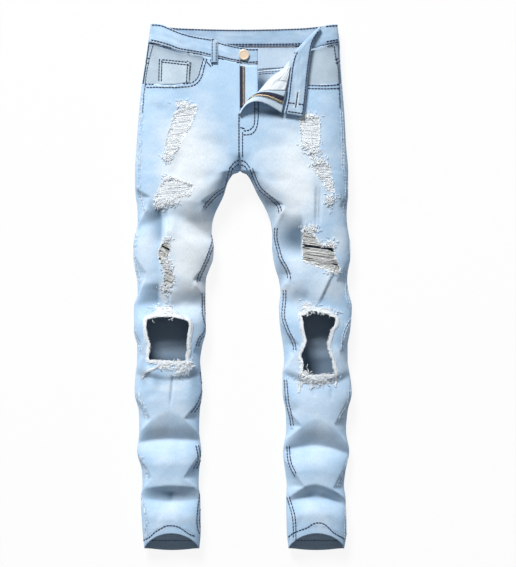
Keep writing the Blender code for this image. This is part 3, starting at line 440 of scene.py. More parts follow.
class LegForm:  # one half of the jeans; across runs from -1, the side seam, to 1
    def __init__(self, name):
        self.name, self.title = name, name.title()
        self.side = -1 if name == "right" else 1
        self.kept = {}

    def span(self, down):
        if down not in self.kept:
            outer = read(widths[self.name], "outer", down)
            inner = read(widths[self.name], "inner", down) if down > form["crotch"] else 0.0
            crown, edge = read(heights, "crown", down), read(heights, "edge", down)
            self.kept[down] = outer, max(inner, 0.5 * form["gap"]), crown, edge
        return self.kept[down]

    def out(self, across, down):
        outer, inner = self.span(down)[:2]
        return 0.5 * (outer + inner) - 0.5 * (outer - inner) * across

    def across(self, out, down):
        outer, inner = self.span(down)[:2]
        return within((outer + inner - 2 * out) / (outer - inner), -1.0)

    def change(self, name, down):
        start, reach = crotchForm[name]
        return smooth((down - start) / reach)

    def seat(self, down):
        return form["seat"] * (1 - self.change("seat", down))

    def innerSeam(self, down):
        crown, edge = self.span(down)[2:]
        join = crotchForm["join"]
        joined = smooth((down - join) / (form["crotch"] + crotchForm["joinPast"] - join))
        under = self.change("under", down)
        return mix(crown - form["seamDip"], edge, joined), mix(self.seat(down), edge, under)

    def dome(self, across, down):
        outer, inner, crown, edge = self.span(down)
        if across < 0:
            end = edge
        else:  # the cloth rounds off within a short way of the crotch
            end, half = self.innerSeam(down)[0], 0.5 * (outer - inner)
            close = self.change("close", down) * (1 - self.change("open", down))
            across = max(0.0, 1 - (1 - across) * half / mix(half, crotchForm["width"], close))
        return end + (crown - end) * (1 - abs(across) ** form["domeFlat"]) ** form["domeRound"]

    def height(self, across, down):
        outer, inner, _, edge = self.span(down)
        half = 0.5 * (outer - inner)
        z = self.dome(across, down)
        for sign, side in ((1, "outer"), (-1, "inner")):
            for dent in dents[self.name][side]:
                start, tip, deep, end = (value * mm for value in dent)
                if not start < down < end:
                    continue
                reach = deep * ((down - start) / (tip - start) if down < tip else (end - down) / (end - tip))
                inward = half * (1 + sign * across)
                if inward < reach:
                    top = self.dome(-sign * (1 - reach / half), down)
                    z = min(z, edge + (top - edge) * inward / reach)
        for valley in valleys[self.name]:
            atOuter, middle, atInner = zip(*(valley[name] for name in ("line", "fall", "rise", "depth")))
            ends, share = atOuter if across < 0 else atInner, abs(across) ** 1.5
            line, fall, rise, depth = (mix(a, b, share) for a, b in zip(middle, ends))
            off, soft = down - line * mm, valley["round"] * mm
            near = 1 - (math.hypot(off, soft) - soft) / ((fall if off < 0 else rise) * mm)
            if near > 0:
                loss = mix(near**2, 1 - (1 - near) ** 2, valley["top"]) if off < 0 else near**1.6
                z -= (z - edge) * depth * loss
        return z

    def front(self, across, down):
        out = self.out(across, down)
        rise = creaseRise(creases[self.name], out / mm, down / mm)
        for tall, size, seed in form["unevenness"]:
            rise += tall * mm * rumple(self.side * out, down, size * mm, seed)
        rise *= 1 - abs(across) ** 6
        return at(self.side * out, down, self.height(across, down) + rise)

    def frontAt(self, out, down):
        return self.front(self.across(out, down), down)

    def back(self, turn, down):  # flat under the leg, from -1 at the side seam to 1 at the inner seam
        outer, inner, _, edge = self.span(down)
        floor, bend = self.seat(down), form["sideRound"]
        high = edge if turn < 0 else self.innerSeam(down)[1]
        lean = within((abs(turn) - form["backFlat"]) / form["backRound"])
        inset = bend * (1 - math.sin(0.5 * math.pi * lean))
        z = floor + max(high - floor, 0.0) * (1 - math.cos(0.5 * math.pi * lean))
        if lean == 0:
            inset = mix(bend, 0.5 * (outer - inner), 1 - abs(turn) / form["backFlat"])
        out = outer - inset if turn < 0 else inner + inset
        lift = creaseRise(seatCreases, out / mm, down / mm) * (1 - lean)
        lift += 0.5 * mm * max(rumple(self.side * out, down, 30 * mm, 9), 0) * (1 - lean)
        return at(self.side * out, down, z + lift)

    def backOut(self, turn, down):
        return abs(self.back(turn, down).x - form["seamX"])


legs = {name: LegForm(name) for name in ("right", "left")}


def nearest(start, end, out, down):  # the place on a straight line that is nearest to a place
    runOut, runDown = end[0] - start[0], end[1] - start[1]
    share = ((out - start[0]) * runOut + (down - start[1]) * runDown) / (runOut**2 + runDown**2)
    share = within(share)
    return start[0] + share * runOut, start[1] + share * runDown


def crossing(start, end, level):  # how far out a line is where it passes a level
    return start[0] + (level - start[1]) * (end[0] - start[0]) / (end[1] - start[1])


def toOutline(outline, out, down):  # distance to an outline, below 0 inside it, and the nearest place on it
    best, inside = (math.inf, 0, 0), False
    for start, end in zip(outline, outline[1:] + outline[:1]):
        near = nearest(start, end, out, down)
        best = min(best, (math.hypot(out - near[0], down - near[1]), *near))
        if (start[1] > down) != (end[1] > down) and out < crossing(start, end, down):
            inside = not inside
    return (-best[0] if inside else best[0]), best[1:]


def reached(spot, out, down):  # how far a place is from a spot's centre, squared, in the spot's own reaches
    return ((out - spot[0]) / spot[2]) ** 2 + ((down - spot[1]) / spot[3]) ** 2


frayed = {"margin": 8, "width": 7, "least": 0.15, "tuft": 1.5}


def frayAt(legName, out, down):  # how white and raised the cloth is, round a hole and under a tuft
    fray, margin = 0.0, frayed["margin"]
    for rip in rips[legName].values():
        outs, downs = zip(*rip["outline"])
        if min(outs) - margin < out < max(outs) + margin and min(downs) - margin < down < max(downs) + margin:
            away, (_, nearDown) = toOutline(rip["outline"], out, down)
            strength = 1
            if rip["pitch"] and away > 0:  # the bare threads run into the cloth at the sides of a rip
                strength = frayed["least"] + (1 - frayed["least"]) * abs(down - nearDown) / (away + 0.01)
            fray = max(fray, strength * smooth(1 - max(away, 0) / frayed["width"]))
    for tuft in tufts[legName]:
        reach = reached(tuft, out, down)
        if reach < 6:
            ragged = 0.9 + 1.3 * rumple(out, down, 3.2, 12)
            fray = max(fray, min(smooth(frayed["tuft"] * math.exp(-reach * 0.7) * ragged), 1.0))
    return fray


def paintedShadeAt(legName, out, down):  # how much painted shade the cloth gets in its folds and below a tuft
    spots = list(paintedShades[legName])
    # a painted shadow below each tuft
    spots += [(x, y + 1.3 * tall + 2, wide, 3, 0.4) for x, y, wide, tall, _, _ in tufts[legName] if y < 640]
    return sum(
        spot[4] * math.exp(-(reached(spot, out, down) ** 1.1))
        for spot in spots
        if abs(out - spot[0]) < 3 * spot[2] and abs(down - spot[1]) < 3 * spot[3]
    )


def wearAndLightAt(legName, out, down):
    return max(spot[4] * math.exp(-(reached(spot, out, down) ** 1.3)) for spot in paleWearAndLight[legName])


print("form ready")


def srgb(*colour):
    shares = [value / 255 for value in colour]
    return (*(v / 12.92 if v <= 0.04045 else ((v + 0.055) / 1.055) ** 2.4 for v in shares), 1)


def wire(tree, value, socket):
    if isinstance(value, bpy.types.NodeSocket):
        tree.links.new(value, socket)
    else:
        socket.default_value = value


def mixColour(tree, share, first, second, how="MIX"):
    node = tree.nodes.new("ShaderNodeMix")
    node.data_type, node.blend_type = "RGBA", how
    for value, k in ((share, 0), (first, 6), (second, 7)):
        wire(tree, value, node.inputs[k])
    return node.outputs[2]


def maths(tree, how, first, second):
    node = tree.nodes.new("ShaderNodeMath")
    node.operation, node.use_clamp = how, how in ("ADD", "MULTIPLY")
    wire(tree, first, node.inputs[0])
    wire(tree, second, node.inputs[1])
    return node.outputs[0]


def ranged(tree, value, low, high, start=0.0, end=1.0):
    node = tree.nodes.new("ShaderNodeMapRange")
    sockets = ("From Min", "From Max", "To Min", "To Max", "Value")
    for name, setting in zip(sockets, (low, high, start, end, value)):
        wire(tree, setting, node.inputs[name])
    return node.outputs[0]


def grain(tree, place, scale, start, end, stretch=(1, 1, 1), detail=3):  # cloudy noise between two values
    mapping = tree.nodes.new("ShaderNodeMapping")
    mapping.inputs["Scale"].default_value = stretch
    wire(tree, place, mapping.inputs["Vector"])
    node = tree.nodes.new("ShaderNodeTexNoise")
    node.inputs["Scale"].default_value = scale
    node.inputs["Detail"].default_value = detail
    wire(tree, mapping.outputs[0], node.inputs["Vector"])
    return ranged(tree, node.outputs["Fac"], 0.3, 0.7, start, end)


def attribute(tree, name):
    node = tree.nodes.new("ShaderNodeAttribute")
    node.attribute_name = name
    return node.outputs["Fac"]


def newLook(name, colour, roughness, metallic=0.0):
    look = bpy.data.materials.new(name)
    look.use_nodes = True
    shader = look.node_tree.nodes["Principled BSDF"]
    shader.inputs["Base Color"].default_value = colour
    shader.inputs["Roughness"].default_value = roughness
    shader.inputs["Metallic"].default_value = metallic
    return look, look.node_tree, shader


def bump(tree, shader, height, strength, distance):
    node = tree.nodes.new("ShaderNodeBump")
    node.inputs["Strength"].default_value = strength
    node.inputs["Distance"].default_value = distance
    wire(tree, height, node.inputs["Height"])
    wire(tree, node.outputs[0], shader.inputs["Normal"])


denimColours = {
    "outside": srgb(183, 213, 240),
    "bleached": srgb(240, 247, 252),
    "inside": srgb(196, 214, 230),
    "bandInside": srgb(172, 200, 225),
    "fray": srgb(243, 245, 246),
    "seam": srgb(118, 148, 184),
    "facing": srgb(190, 207, 220),
    # the inside of the backs, with painted shade far down the legs
    "legInsideShaded": srgb(136, 153, 170),
    # painted shade, and in places a darker dye
    "shadeAndDye": srgb(88, 114, 138),
}


# noise in the cloth: its scale, and the two values that it runs between
denimGrain = {
    "cloud": (22, -0.22, 0.22),
    "heather": (420, 0.93, 1.05),
    "patch": (130, 0.1, 0.9),
    "ragged": (160, -0.35, 0.25),
    "fibre": (700, 0, 0.5),
}
denimWeave = {
    "twill": 370, "warp": 1.2, "depth": 0.12 * mm, "strength": 0.35, "sheen": 0.08, "roughness": 0.92,
}


def denimLook(name, colour, deep=None):
    look, tree, shader = newLook(name, colour, denimWeave["roughness"])
    flat = tree.nodes.new("ShaderNodeTexCoord").outputs["UV"]
    # pale wear, and painted light where a spot or a raised crease lifts the shade
    fadeAndLight = maths(tree, "ADD", attribute(tree, "fadeAndLight"), grain(tree, flat, *denimGrain["cloud"], detail=4))
    heather = grain(tree, flat, *denimGrain["heather"], stretch=(1, 0.45, 1))
    tone = mixColour(tree, fadeAndLight, colour, denimColours["bleached"])
    if deep:  # painted shade far inside the legs
        split = tree.nodes.new("ShaderNodeSeparateXYZ")
        wire(tree, flat, split.inputs[0])
        ends = [ranged(tree, split.outputs[1], low, high) for low, high in ((0.25, 0.33), (0.965, 0.92))]
        tone = mixColour(tree, maths(tree, "MULTIPLY", *ends), tone, deep)
    seam = maths(tree, "MULTIPLY", attribute(tree, "seam"), grain(tree, flat, *denimGrain["patch"]))
    tone = mixColour(tree, seam, tone, denimColours["seam"])
    # painted shade in folds, under the turned cloth and below tufts; in places a darker dye
    tone = mixColour(tree, attribute(tree, "shadeAndDye"), tone, denimColours["shadeAndDye"])
    tone = mixColour(tree, 1.0, tone, heather, "MULTIPLY")
    rough = maths(tree, "ADD", attribute(tree, "fray"), grain(tree, flat, *denimGrain["ragged"]))
    tone = mixColour(tree, ranged(tree, rough, 0.25, 0.62), tone, denimColours["fray"])
    wire(tree, tone, shader.inputs["Base Color"])
    twill = tree.nodes.new("ShaderNodeTexWave")
    twill.bands_direction = "DIAGONAL"
    twill.inputs["Scale"].default_value = denimWeave["twill"]
    twill.inputs["Distortion"].default_value = denimWeave["warp"]
    wire(tree, flat, twill.inputs["Vector"])
    ridges = maths(tree, "MULTIPLY", twill.outputs["Fac"], 0.45)
    height = maths(tree, "ADD", ridges, grain(tree, flat, *denimGrain["fibre"]))
    bump(tree, shader, height, denimWeave["strength"], denimWeave["depth"])
    shader.inputs["Sheen Weight"].default_value = denimWeave["sheen"]
    return look


def plainLook(name, colour, roughness=0.85, scale=500, spread=0.12, metallic=0.0, relief=0.2):
    look, tree, shader = newLook(name, colour, roughness, metallic)
    place = tree.nodes.new("ShaderNodeTexCoord").outputs["Object"]
    shade = grain(tree, place, scale, 1 - spread, 1 + spread)
    wire(tree, mixColour(tree, 1.0, colour, shade, "MULTIPLY"), shader.inputs["Base Color"])
    bump(tree, shader, grain(tree, place, scale * 2, 0, 1), relief, 0.1 * mm)
    return look


looks = {
    "denim": denimLook("denim", denimColours["outside"]),
    "inside": denimLook("denimInside", denimColours["inside"]),
    "legInsideShaded": denimLook("denimLegInsideShaded", denimColours["inside"], denimColours["legInsideShaded"]),
    "bandInside": denimLook("denimBandInside", denimColours["bandInside"]),
    "facing": denimLook("denimFacing", denimColours["facing"]),
    "pocketing": plainLook("pocketing", srgb(228, 234, 241), scale=900, spread=0.04),
    "tape": plainLook("zipTape", srgb(44, 46, 68), scale=1400, spread=0.3),
    "thread": plainLook("bareThread", srgb(246, 250, 253), scale=260, spread=0.03),
    "warm": plainLook("bareThreadWarm", srgb(228, 229, 226), scale=260, spread=0.05),
    "navy": plainLook("navyStitch", srgb(36, 44, 74), 0.7, scale=900, spread=0.3),
    "pale": plainLook("paleStitch", srgb(206, 222, 236), 0.8, scale=900),
    "brass": plainLook("brass", srgb(196, 160, 104), 0.38, scale=300, spread=0.15, metallic=0.9, relief=0.08),
    "button": plainLook("creamMetal", srgb(252, 228, 200), 0.34, 160, 0.04, metallic=0.25, relief=0.04),
}
print("materials ready")


def addPiece(name, data, slot):
    piece = bpy.data.objects.new(name, data)
    bpy.context.scene.collection.objects.link(piece)
    data.polygons.foreach_set("use_smooth", [True] * len(data.polygons))
    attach(piece, "root")
    return piece


def finishPiece(name, mesh, materials, slot, node):
    data = bpy.data.meshes.new(name)
    mesh.to_mesh(data)
    mesh.free()
    for look in materials:
        data.materials.append(looks[look])
    piece = addPiece(name, data, slot)
    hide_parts(node)
    return piece


# seam lines, each through places out and down in mm
inseams = {
    "right": (
        ((19, 276), (25, 299), (30, 313), (42, 322), (53, 332), (63, 343), (70, 352)),
        ((55, 404), (53, 413), (57, 428), (63, 444), (68, 457), (74, 470), (80, 484), (82, 495)),
        ((72, 514), (72, 546), (70, 561), (66, 577), (70, 590), (78, 599), (82, 609), (84, 617)),
        ((76, 664), (74, 679), (72, 698), (78, 716), (86, 732), (94, 742)),
        ((84, 804), (80, 830), (90, 850)),
        ((78, 884), (78, 907), (80, 917), (82, 945), (80, 964), (76, 974)),
    ),
    "left": (
        ((19, 280), (25, 295), (32, 311), (40, 322), (53, 333), (65, 343), (72, 352), (74, 364)),
        ((66, 390), (65, 406), (68, 423), (72, 438), (76, 451), (84, 465), (89, 476), (91, 489)),
        (
            (82, 508), (82, 527), (80, 546), (80, 561), (84, 575), (91, 592), (97, 603), (101, 615),
            (101, 624),
        ),
        ((84, 679), (87, 717), (91, 736), (95, 755), (97, 770)), ((89, 806), (92, 836), (104, 862)),
        ((89, 903), (95, 922), (99, 936), (101, 955), (101, 983)),
    ),
}
outseams = {
    "right": (
        ((165, 43), (169, 56), (175, 81), (179, 105), (180, 123), (182, 132), (183, 147), (185, 174)),
        ((185, 178), (188, 242), (190, 318), (186, 337), (180, 356)), ((192, 380), (199, 430)),
        ((201, 444), (194, 470), (188, 493)), ((198, 584), (194, 603), (184, 626)),
        ((190, 700), (188, 713), (180, 732), (175, 750)), ((186, 824), (180, 846), (173, 865)),
        ((188, 900), (182, 917), (177, 936), (175, 955), (177, 970), (175, 990)),
    ),
    "left": (
        ((179, 45), (182, 66), (186, 81), (188, 109), (190, 164)),
        ((191, 170), (194, 242), (194, 280), (201, 307), (196, 356)),
        ((204, 380), (209, 410), (207, 440)), ((202, 470), (201, 508), (206, 540)),
        ((211, 561), (200, 579), (194, 599), (192, 622)),
        ((208, 680), (205, 717), (196, 736), (186, 755)), ((205, 831), (194, 858), (184, 881)),
        ((201, 917), (200, 945), (198, 985)),
    ),
}
pocketLines = {
    "right": (
        (
            (179, 115), (171, 118), (142, 119), (124, 120), (114, 118), (95, 117), (86, 113), (80, 107),
            (77, 100), (75, 92), (72, 81), (68, 68),
        ),
        (
            (177, 124), (150, 124.5), (124, 125), (95, 123), (84, 119), (76, 111), (71, 101), (69, 92),
            (66, 81), (62, 69),
        ),
    ),
    "left": (((129, 121), (162, 121), (190, 118)), ((129, 127), (162, 127), (190, 125))),
}
coinLines = (
    ((153, 71), (90, 78)), ((149, 76), (92, 83)), ((153, 71), (154, 117)), ((148, 72), (149, 118)),
    ((99, 74), (101, 115)), ((93, 77), (96, 114)),
)
flyLines = {
    "left": (
        ((28, 150), (28, 170), (27, 195), (19, 205), (11, 207), (2, 208)),
        ((34, 150), (35, 170), (33, 195), (28, 208), (19, 214), (2, 215)), ((5, 210), (5, 235), (5, 262)),
        ((2, 263), (7, 264), (13, 269), (19, 278)), ((2, 271), (6, 272), (11, 276), (15, 283)),
    ),
    "right": (((2, 263), (7, 264), (13, 269), (19, 278)), ((2, 271), (6, 272), (11, 276), (15, 283))),
}
# short bars: the cloth they are sewn to, the line, and its side
bartacks = (
    ("frontLeft", ((1, 201), (9, 203)), 1), ("frontLeft", ((27, 166), (34, 167)), 1),
    ("facingRight", ((172, 68), (180, 67)), -1), ("facingRight", ((173, 77), (181, 76)), -1),
    ("frontRight", ((176, 118), (184, 116)), -1), ("facingLeft", ((181, 70), (190, 66)), 1),
    ("facingLeft", ((182, 77), (190, 73)), 1), ("frontLeft", ((184, 118), (192, 116)), 1),
    ("frontRight", ((56, 72), (52, 84)), -1), ("frontRight", ((63, 76), (55, 85)), -1),
)
hemLines = {
    "right": (
        (184, 985), (171, 977), (162, 968), (148, 959), (139, 955), (124, 955), (112, 960), (101, 968),
        (95, 972), (82, 977),
    ),
    "left": (
        (92, 978), (101, 970), (114, 964), (127, 959), (137, 952), (148, 949), (160, 952), (169, 960),
        (177, 968), (190, 976), (200, 982),
    ),
}


def curved(p, q, r, w, t):  # between q and r, on a smooth curve that also runs through p and w
    bend, twist = 2 * p - 5 * q + 4 * r - w, 3 * q - p - 3 * r + w
    return 0.5 * (2 * q + (r - p) * t + bend * t * t + twist * t**3)


def evenly(points, step):  # places at even steps along a smooth line through these
    fine = []
    for k in range(len(points) - 1):
        four = [points[min(max(n, 0), len(points) - 1)] for n in range(k - 1, k + 3)]
        fine += [tuple(curved(*values, s / 8) for values in zip(*four)) for s in range(8)]
    fine.append(points[-1])
    found, left = [fine[0]], step
    for a, b in zip(fine, fine[1:]):
        length = math.dist(a, b)
        place = left
        while place <= length:
            found.append(tuple(mix(p, q, place / length) for p, q in zip(a, b)))
            place += step
        left = place - length
    return found


def beside(points, off):  # the same line moved sideways
    moved = []
    for k, point in enumerate(points):
        a, b = points[max(k - 1, 0)], points[min(k + 1, len(points) - 1)]
        length = math.dist(a, b) or 1
        moved.append((point[0] + off * (b[1] - a[1]) / length, point[1] - off * (b[0] - a[0]) / length))
    return moved


def nearLine(lines, out, down, reach=14):
    best = reach
    for line in lines:
        for start, end in zip(line, line[1:]):
            if min(start[1], end[1]) - reach < down < max(start[1], end[1]) + reach:
                best = min(best, math.dist((out, down), nearest(start, end, out, down)))
    return best


doubled = {"right": -5, "left": 5}  # where the second row of an inseam lies
paired = {name: [beside(line, 0.5 * doubled[name]) for line in inseams[name]] for name in legs}
puckered = {
    name: paired[name] + [beside(line, 2) for line in outseams[name]] + [beside(pocketLines[name][0], 3)]
    for name in legs
}
skins = {}  # the outer face of each cloth piece, for the stitches


def layCloth(name, size, surface, node, slot="denim", materials=("denim", "inside"), flip=False,
             thickness=form["denim"], cuts=(), spot=None, tint=None, slit=None):
    columns, rows = size
    mesh = bmesh.new()
    bmesh.ops.create_grid(mesh, x_segments=columns, y_segments=rows, size=0.5)
    if slit:
        middles = ((face, face.calc_center_median()) for face in mesh.faces)
        opened = [face for face, mid in middles if slit((0.5 - mid.y) * rows, (mid.x + 0.5) * columns)]
        bmesh.ops.delete(mesh, geom=opened, context="FACES")
    place = mesh.verts.layers.float_vector.new("place")
    bare = []
    for vert in mesh.verts:
        found = surface(round((0.5 - vert.co.y) * rows), round((vert.co.x + 0.5) * columns))
        if found is None:
            bare.append(vert)
        else:
            vert.co = found[0]
            vert[place] = (found[1], found[2], 0)
    bmesh.ops.delete(mesh, geom=bare, context="VERTS")
    for outline in cuts:
        cutAway(mesh, place, outline, spot)
    layers = [mesh.verts.layers.float.new(name) for name in ("fadeAndLight", "fray", "seam", "shadeAndDye")]
    if tint:
        for vert in mesh.verts:
            *tones, rise = tint(vert[place].x / mm, vert[place].y / mm)
            for layer, tone in zip(layers, tones):
                vert[layer] = tone
            vert.co.z += rise * mm
    chart = mesh.loops.layers.uv.new("chart")
    for face in mesh.faces:
        for loop in face.loops:
            loop[chart].uv = loop.vert[place].xy
    if flip:
        bmesh.ops.reverse_faces(mesh, faces=mesh.faces)
    mesh.normal_update()
    skins[name] = BVHTree.FromBMesh(mesh)
    piece = finishPiece(name, mesh, materials, slot, node)
    wall = piece.modifiers.new("wall", "SOLIDIFY")
    wall.thickness = thickness
    wall.offset = -1
    wall.material_offset = 1
    wall.material_offset_rim = 0


raggedEdge = ((1.5, 3.5), (0.6, 1.5))  # how far a cut edge strays, and over what length, in mm


def cutAway(mesh, place, outline, spot):
    outs, downs = zip(*outline)
    inside = set()
    for face in mesh.faces:
        middle = sum((vert[place] for vert in face.verts), Vector()) / (len(face.verts) * mm)
        if min(outs) < middle.x < max(outs) and min(downs) < middle.y < max(downs):
            if toOutline(outline, middle.x, middle.y)[0] < 0:
                inside.add(face)
    corners = {vert for face in inside for vert in face.verts}
    rim = [vert for vert in corners if any(face not in inside for face in vert.link_faces)]
    bmesh.ops.delete(mesh, geom=list(inside), context="FACES")
    for vert in rim:
        near = toOutline(outline, vert[place].x / mm, vert[place].y / mm)[1]
        jag = sum(far * rumple(*near, size, 3) for far, size in raggedEdge)
        vert[place] = ((near[0] + jag) * mm, (near[1] + jag) * mm, 0)
        vert.co = spot(vert[place].x, vert[place].y)


def columnPlace(j, count):
    t = 2 * j / count - 1
    return mix(t, math.sin(0.5 * math.pi * t), 0.75)


def hemLine(across):
    return (1001 - 31 * (1 - across * across) ** 0.8) * mm


def backHemLine(turn):
    return (1001 + 5 * (1 - turn * turn)) * mm


def waistSeam(leg, across):
    down = 60 * mm
    for _ in range(4):
        down = read(bandFront[leg.name], "seam", leg.out(across, down), by="out")
    return down


def mouthLine(leg, endOut, endDown):
    points = []
    for out, down in zip(mouth["out"], mouth["down"]):
        if out > endOut:
            points.append((leg.across(out, down) if points else -1.0, down + 0.5 * form["gap"]))
    points.append((leg.across(endOut, endDown), endDown))
    return points


# the fronts' grid: its columns and those at the pocket mouth and the turned fold, then its rows down to
# the flat row, down the leg, over the hem, round the fold and on the turned cloth
cloth = {
    "columns": 100, "mouth": 60, "fold": 44,
    "topRows": 44, "legRows": 300, "hemRows": 16, "rollRows": 10, "flapRows": 44,
}


def frontPlace(top, i, j):  # (across, down) of a front's grid point
    across = columnPlace(j, cloth["columns"])
    if i < cloth["topRows"]:
        share = i / cloth["topRows"]
        return mix(top[j][0], across, share), mix(top[j][1], form["flatRow"], share)
    i -= cloth["topRows"]
    if i <= cloth["legRows"]:
        return across, mix(form["flatRow"], form["hemRow"], i / cloth["legRows"])
    return across, mix(form["hemRow"], hemLine(across), (i - cloth["legRows"]) / cloth["hemRows"])


# how wide the marks on a front are, in mm
frontMarks = {"hemUp": 14, "hem": 2.5, "pucker": 4.5, "pair": 3.5, "patch": 4.5, "crotch": (0, 284, 24, 17)}


def frontTint(leg):  # the tones at a place of a front, and how far it rises
    def tint(out, down):
        across = leg.across(out * mm, down * mm)
        fray = frayAt(leg.name, out, down)
        hem = bell((hemLine(across) / mm - frontMarks["hemUp"] - down) / frontMarks["hem"])
        pucker = bell(nearLine(puckered[leg.name], out, down) / frontMarks["pucker"])
        pair = bell(nearLine(paired[leg.name], out, down) / frontMarks["pair"])
        patch = rumple(out, down, frontMarks["patch"], 8)
        # darker round the crotch, partly darker dye and partly painted shade
        crotch = math.exp(-reached(frontMarks["crotch"], out, down))
        # sunken creases get painted shade; raised ones a pale mark, partly wear on the ridge and partly
        # painted highlight
        carved = creaseRise(creases[leg.name], out, down) / mm
        shadeAndDye = min(paintedShadeAt(leg.name, out, down) + 0.09 * max(-carved, 0), 0.9)
        seam = max(0.6 * hem, 0.5 * pair, pucker * (0.35 - 0.9 * patch), 0.3 * crotch)
        fadeAndLight = wearAndLightAt(leg.name, out, down) + pucker * (0.1 + 1.2 * patch)
        fadeAndLight += 0.12 * max(carved, 0) - 0.3 * crotch
        rise = pucker * (0.4 + 0.9 * patch) + fray * (0.3 + 1.1 * rumple(out, down, 4, 2))
        return fadeAndLight, fray, min(seam, 1.0), shadeAndDye, rise * (1 - abs(across) ** 8)

    return tint


# an even wash, darker along lines across the piece, each a place, a width and a strength
def wash(fadeAndLight, *lines, shadeAndDye=0.0):
    def tint(_, down):
        seam = max((strength * bell((down - line) / width) for line, width, strength in lines), default=0.0)
        return fadeAndLight, 0.0, seam, shadeAndDye, 0.0

    return tint


def layFront(leg, surface, turned=0):
    rows = cloth["topRows"] + cloth["legRows"] + cloth["hemRows"] + turned
    layCloth(
        "front" + leg.title, (cloth["columns"], rows), surface, "front_" + leg.name,
        cuts=[rip["outline"] for rip in rips[leg.name].values()],
        spot=leg.frontAt, tint=frontTint(leg), flip=leg.side > 0,
    )


def makeFrontRight():
    leg = legs["right"]
    mouthPoints = mouthLine(leg, 68 * mm, 65.5 * mm + form["waistGap"])
    seam = [(a, waistSeam(leg, a) + form["waistGap"]) for a in (0.45, 0.55, 0.7, 0.85, 1.0)]
    top = along(mouthPoints, cloth["mouth"] + 1, 1.7)[:-1]
    top += along([mouthPoints[-1]] + seam, cloth["columns"] - cloth["mouth"] + 1)

    def surface(i, j):
        across, down = frontPlace(top, i, j)
        return leg.front(across, down), leg.out(across, down), down

    layFront(leg, surface)


def frontHeight(out, down):  # the left front under the turned cloth
    leg = legs["left"]
    return leg.height(leg.across(out, down), down)


fold = {"flap": 3.3 * mm, "band": 2.7 * mm, "out": Vector((-0.66, 0.75, 0)), "seamShare": 0.03}


def flapPoint(place, share):  # place from the fly edge, share from the crease to the band
    line = lineBetween(flap, place)
    out = mix(line["creaseOut"], line["seamOut"], share)
    down = mix(line["creaseDown"], line["seamDown"], share)
    hump = math.sin(math.pi * share**0.7) if share > 0 else 0.0
    down -= line["bump"] * hump
    z = frontHeight(out, down) + 2 * fold["flap"] + line["lift"] * hump
    return at(out, down, z + 0.5 * mm * rumple(out, down, 16 * mm, 7))


def roll(point, radius, share):
    angle = math.pi * share
    return point + fold["out"] * radius * math.sin(angle) + Vector((0, 0, radius * (1 - math.cos(angle))))


def makeFrontLeft():
    leg = legs["left"]
    first = cloth["columns"] - cloth["fold"]
    crease = [lineBetween(flap, 1 - k / cloth["fold"]) for k in range(cloth["fold"] + 1)]
    corner = (crease[0]["creaseOut"], crease[0]["creaseDown"])
    mouthPoints = mouthLine(leg, 108 * mm, 117 * mm) + [(leg.across(*corner), corner[1])]
    top = along(mouthPoints, first + 1, 2.0)[:-1]
    top += [(leg.across(line["creaseOut"], line["creaseDown"]), line["creaseDown"]) for line in crease]
    turned = cloth["rollRows"] + cloth["flapRows"]

    def surface(i, j):
        if i >= turned:
            across, down = frontPlace(top, i - turned, j)
            return leg.front(across, down), leg.out(across, down), down
        if j < first:
            return None
        line = crease[j - first]
        out, down = line["creaseOut"], line["creaseDown"] - (turned - i) * 2 * mm
        if turned - i <= cloth["rollRows"]:
            point = leg.front(*top[j])
            return roll(point, fold["flap"], (turned - i) / cloth["rollRows"]), out, down
        share = (1 - fold["seamShare"]) * (cloth["flapRows"] - i) / cloth["flapRows"]
        return flapPoint(1 - (j - first) / cloth["fold"], share), out, down

    layFront(leg, surface, turned)


def backTint(out, down):
    reach = ((out - 96) / 60) ** 2 + ((down - 420) / 200) ** 2
    hem, yoke = bell((down - 988) / 3), bell((down - 92) / 4)
    # painted shade on the back panel at the lower end of the knee holes and at the back hem
    shade = 0.6 * bell((down - 652) / 26) + 0.4 * smooth((down - 984) / 12)
    return 0.75 * math.exp(-reach), 0.0, 0.6 * max(hem, yoke), shade, 0.0


def yokeAt(leg, turn):
    return read(yokeSeam, "down", leg.backOut(turn, 80 * mm), by="out")


backCloth = {"columns": 58, "topRows": 30, "legRows": 236, "hemRows": 16, "yokeRows": 12}


def makeBack(leg):
    columns, topRows, legRows, hemRows, yokeRows = backCloth.values()

    def surface(i, j):
        turn = 2 * j / columns - 1
        if i < topRows:
            down = mix(yokeAt(leg, turn) + form["gap"], form["flatRow"], i / topRows)
        elif i <= topRows + legRows:
            down = mix(form["flatRow"], form["hemRow"], (i - topRows) / legRows)
        else:
            down = mix(form["hemRow"], backHemLine(turn), (i - topRows - legRows) / hemRows)
        return leg.back(turn, down), leg.backOut(turn, down), down

    def yoke(i, j):
        turn = 2 * j / columns - 1
        top = read(bandBack, "seam", leg.backOut(turn, 45 * mm), by="out") + form["waistGap"]
        down = mix(top, yokeAt(leg, turn), i / yokeRows)
        return leg.back(turn, down), leg.backOut(turn, down), down

    layCloth(
        "back" + leg.title, (columns, topRows + legRows + hemRows), surface, "back_" + leg.name,
        flip=leg.side < 0, tint=backTint, materials=("denim", "legInsideShaded"),
    )
    layCloth(
        "yoke" + leg.title, (columns, yokeRows), yoke, "yoke_" + leg.name,
        flip=leg.side < 0, tint=wash(0.1, (45, 4, 0.5)),
    )


def inwardBy(leg, drop):  # a place under the front's face, by its tilt
    def sink(across, down):
        step = 0.01
        point = leg.front(across, down)
        sideways = leg.front(min(across + step, 1.0), down) - leg.front(max(across - step, -1.0), down)
        below = leg.front(across, down + step * 0.1) - leg.front(across, down - step * 0.1)
        normal = sideways.cross(below).normalized()
        return point - normal * drop * (1 if normal.z > 0 else -1)

    return sink


facing = {
    "drop": 2.6 * mm, "end": 125 * mm, "size": (44, 26), "innerOut": {"right": 62 * mm, "left": 112 * mm},
}
coinPocket = {"drop": 1.1 * mm, "outs": (151, 96), "tops": (70.5, 77), "bottom": 119.2, "size": (22, 18)}


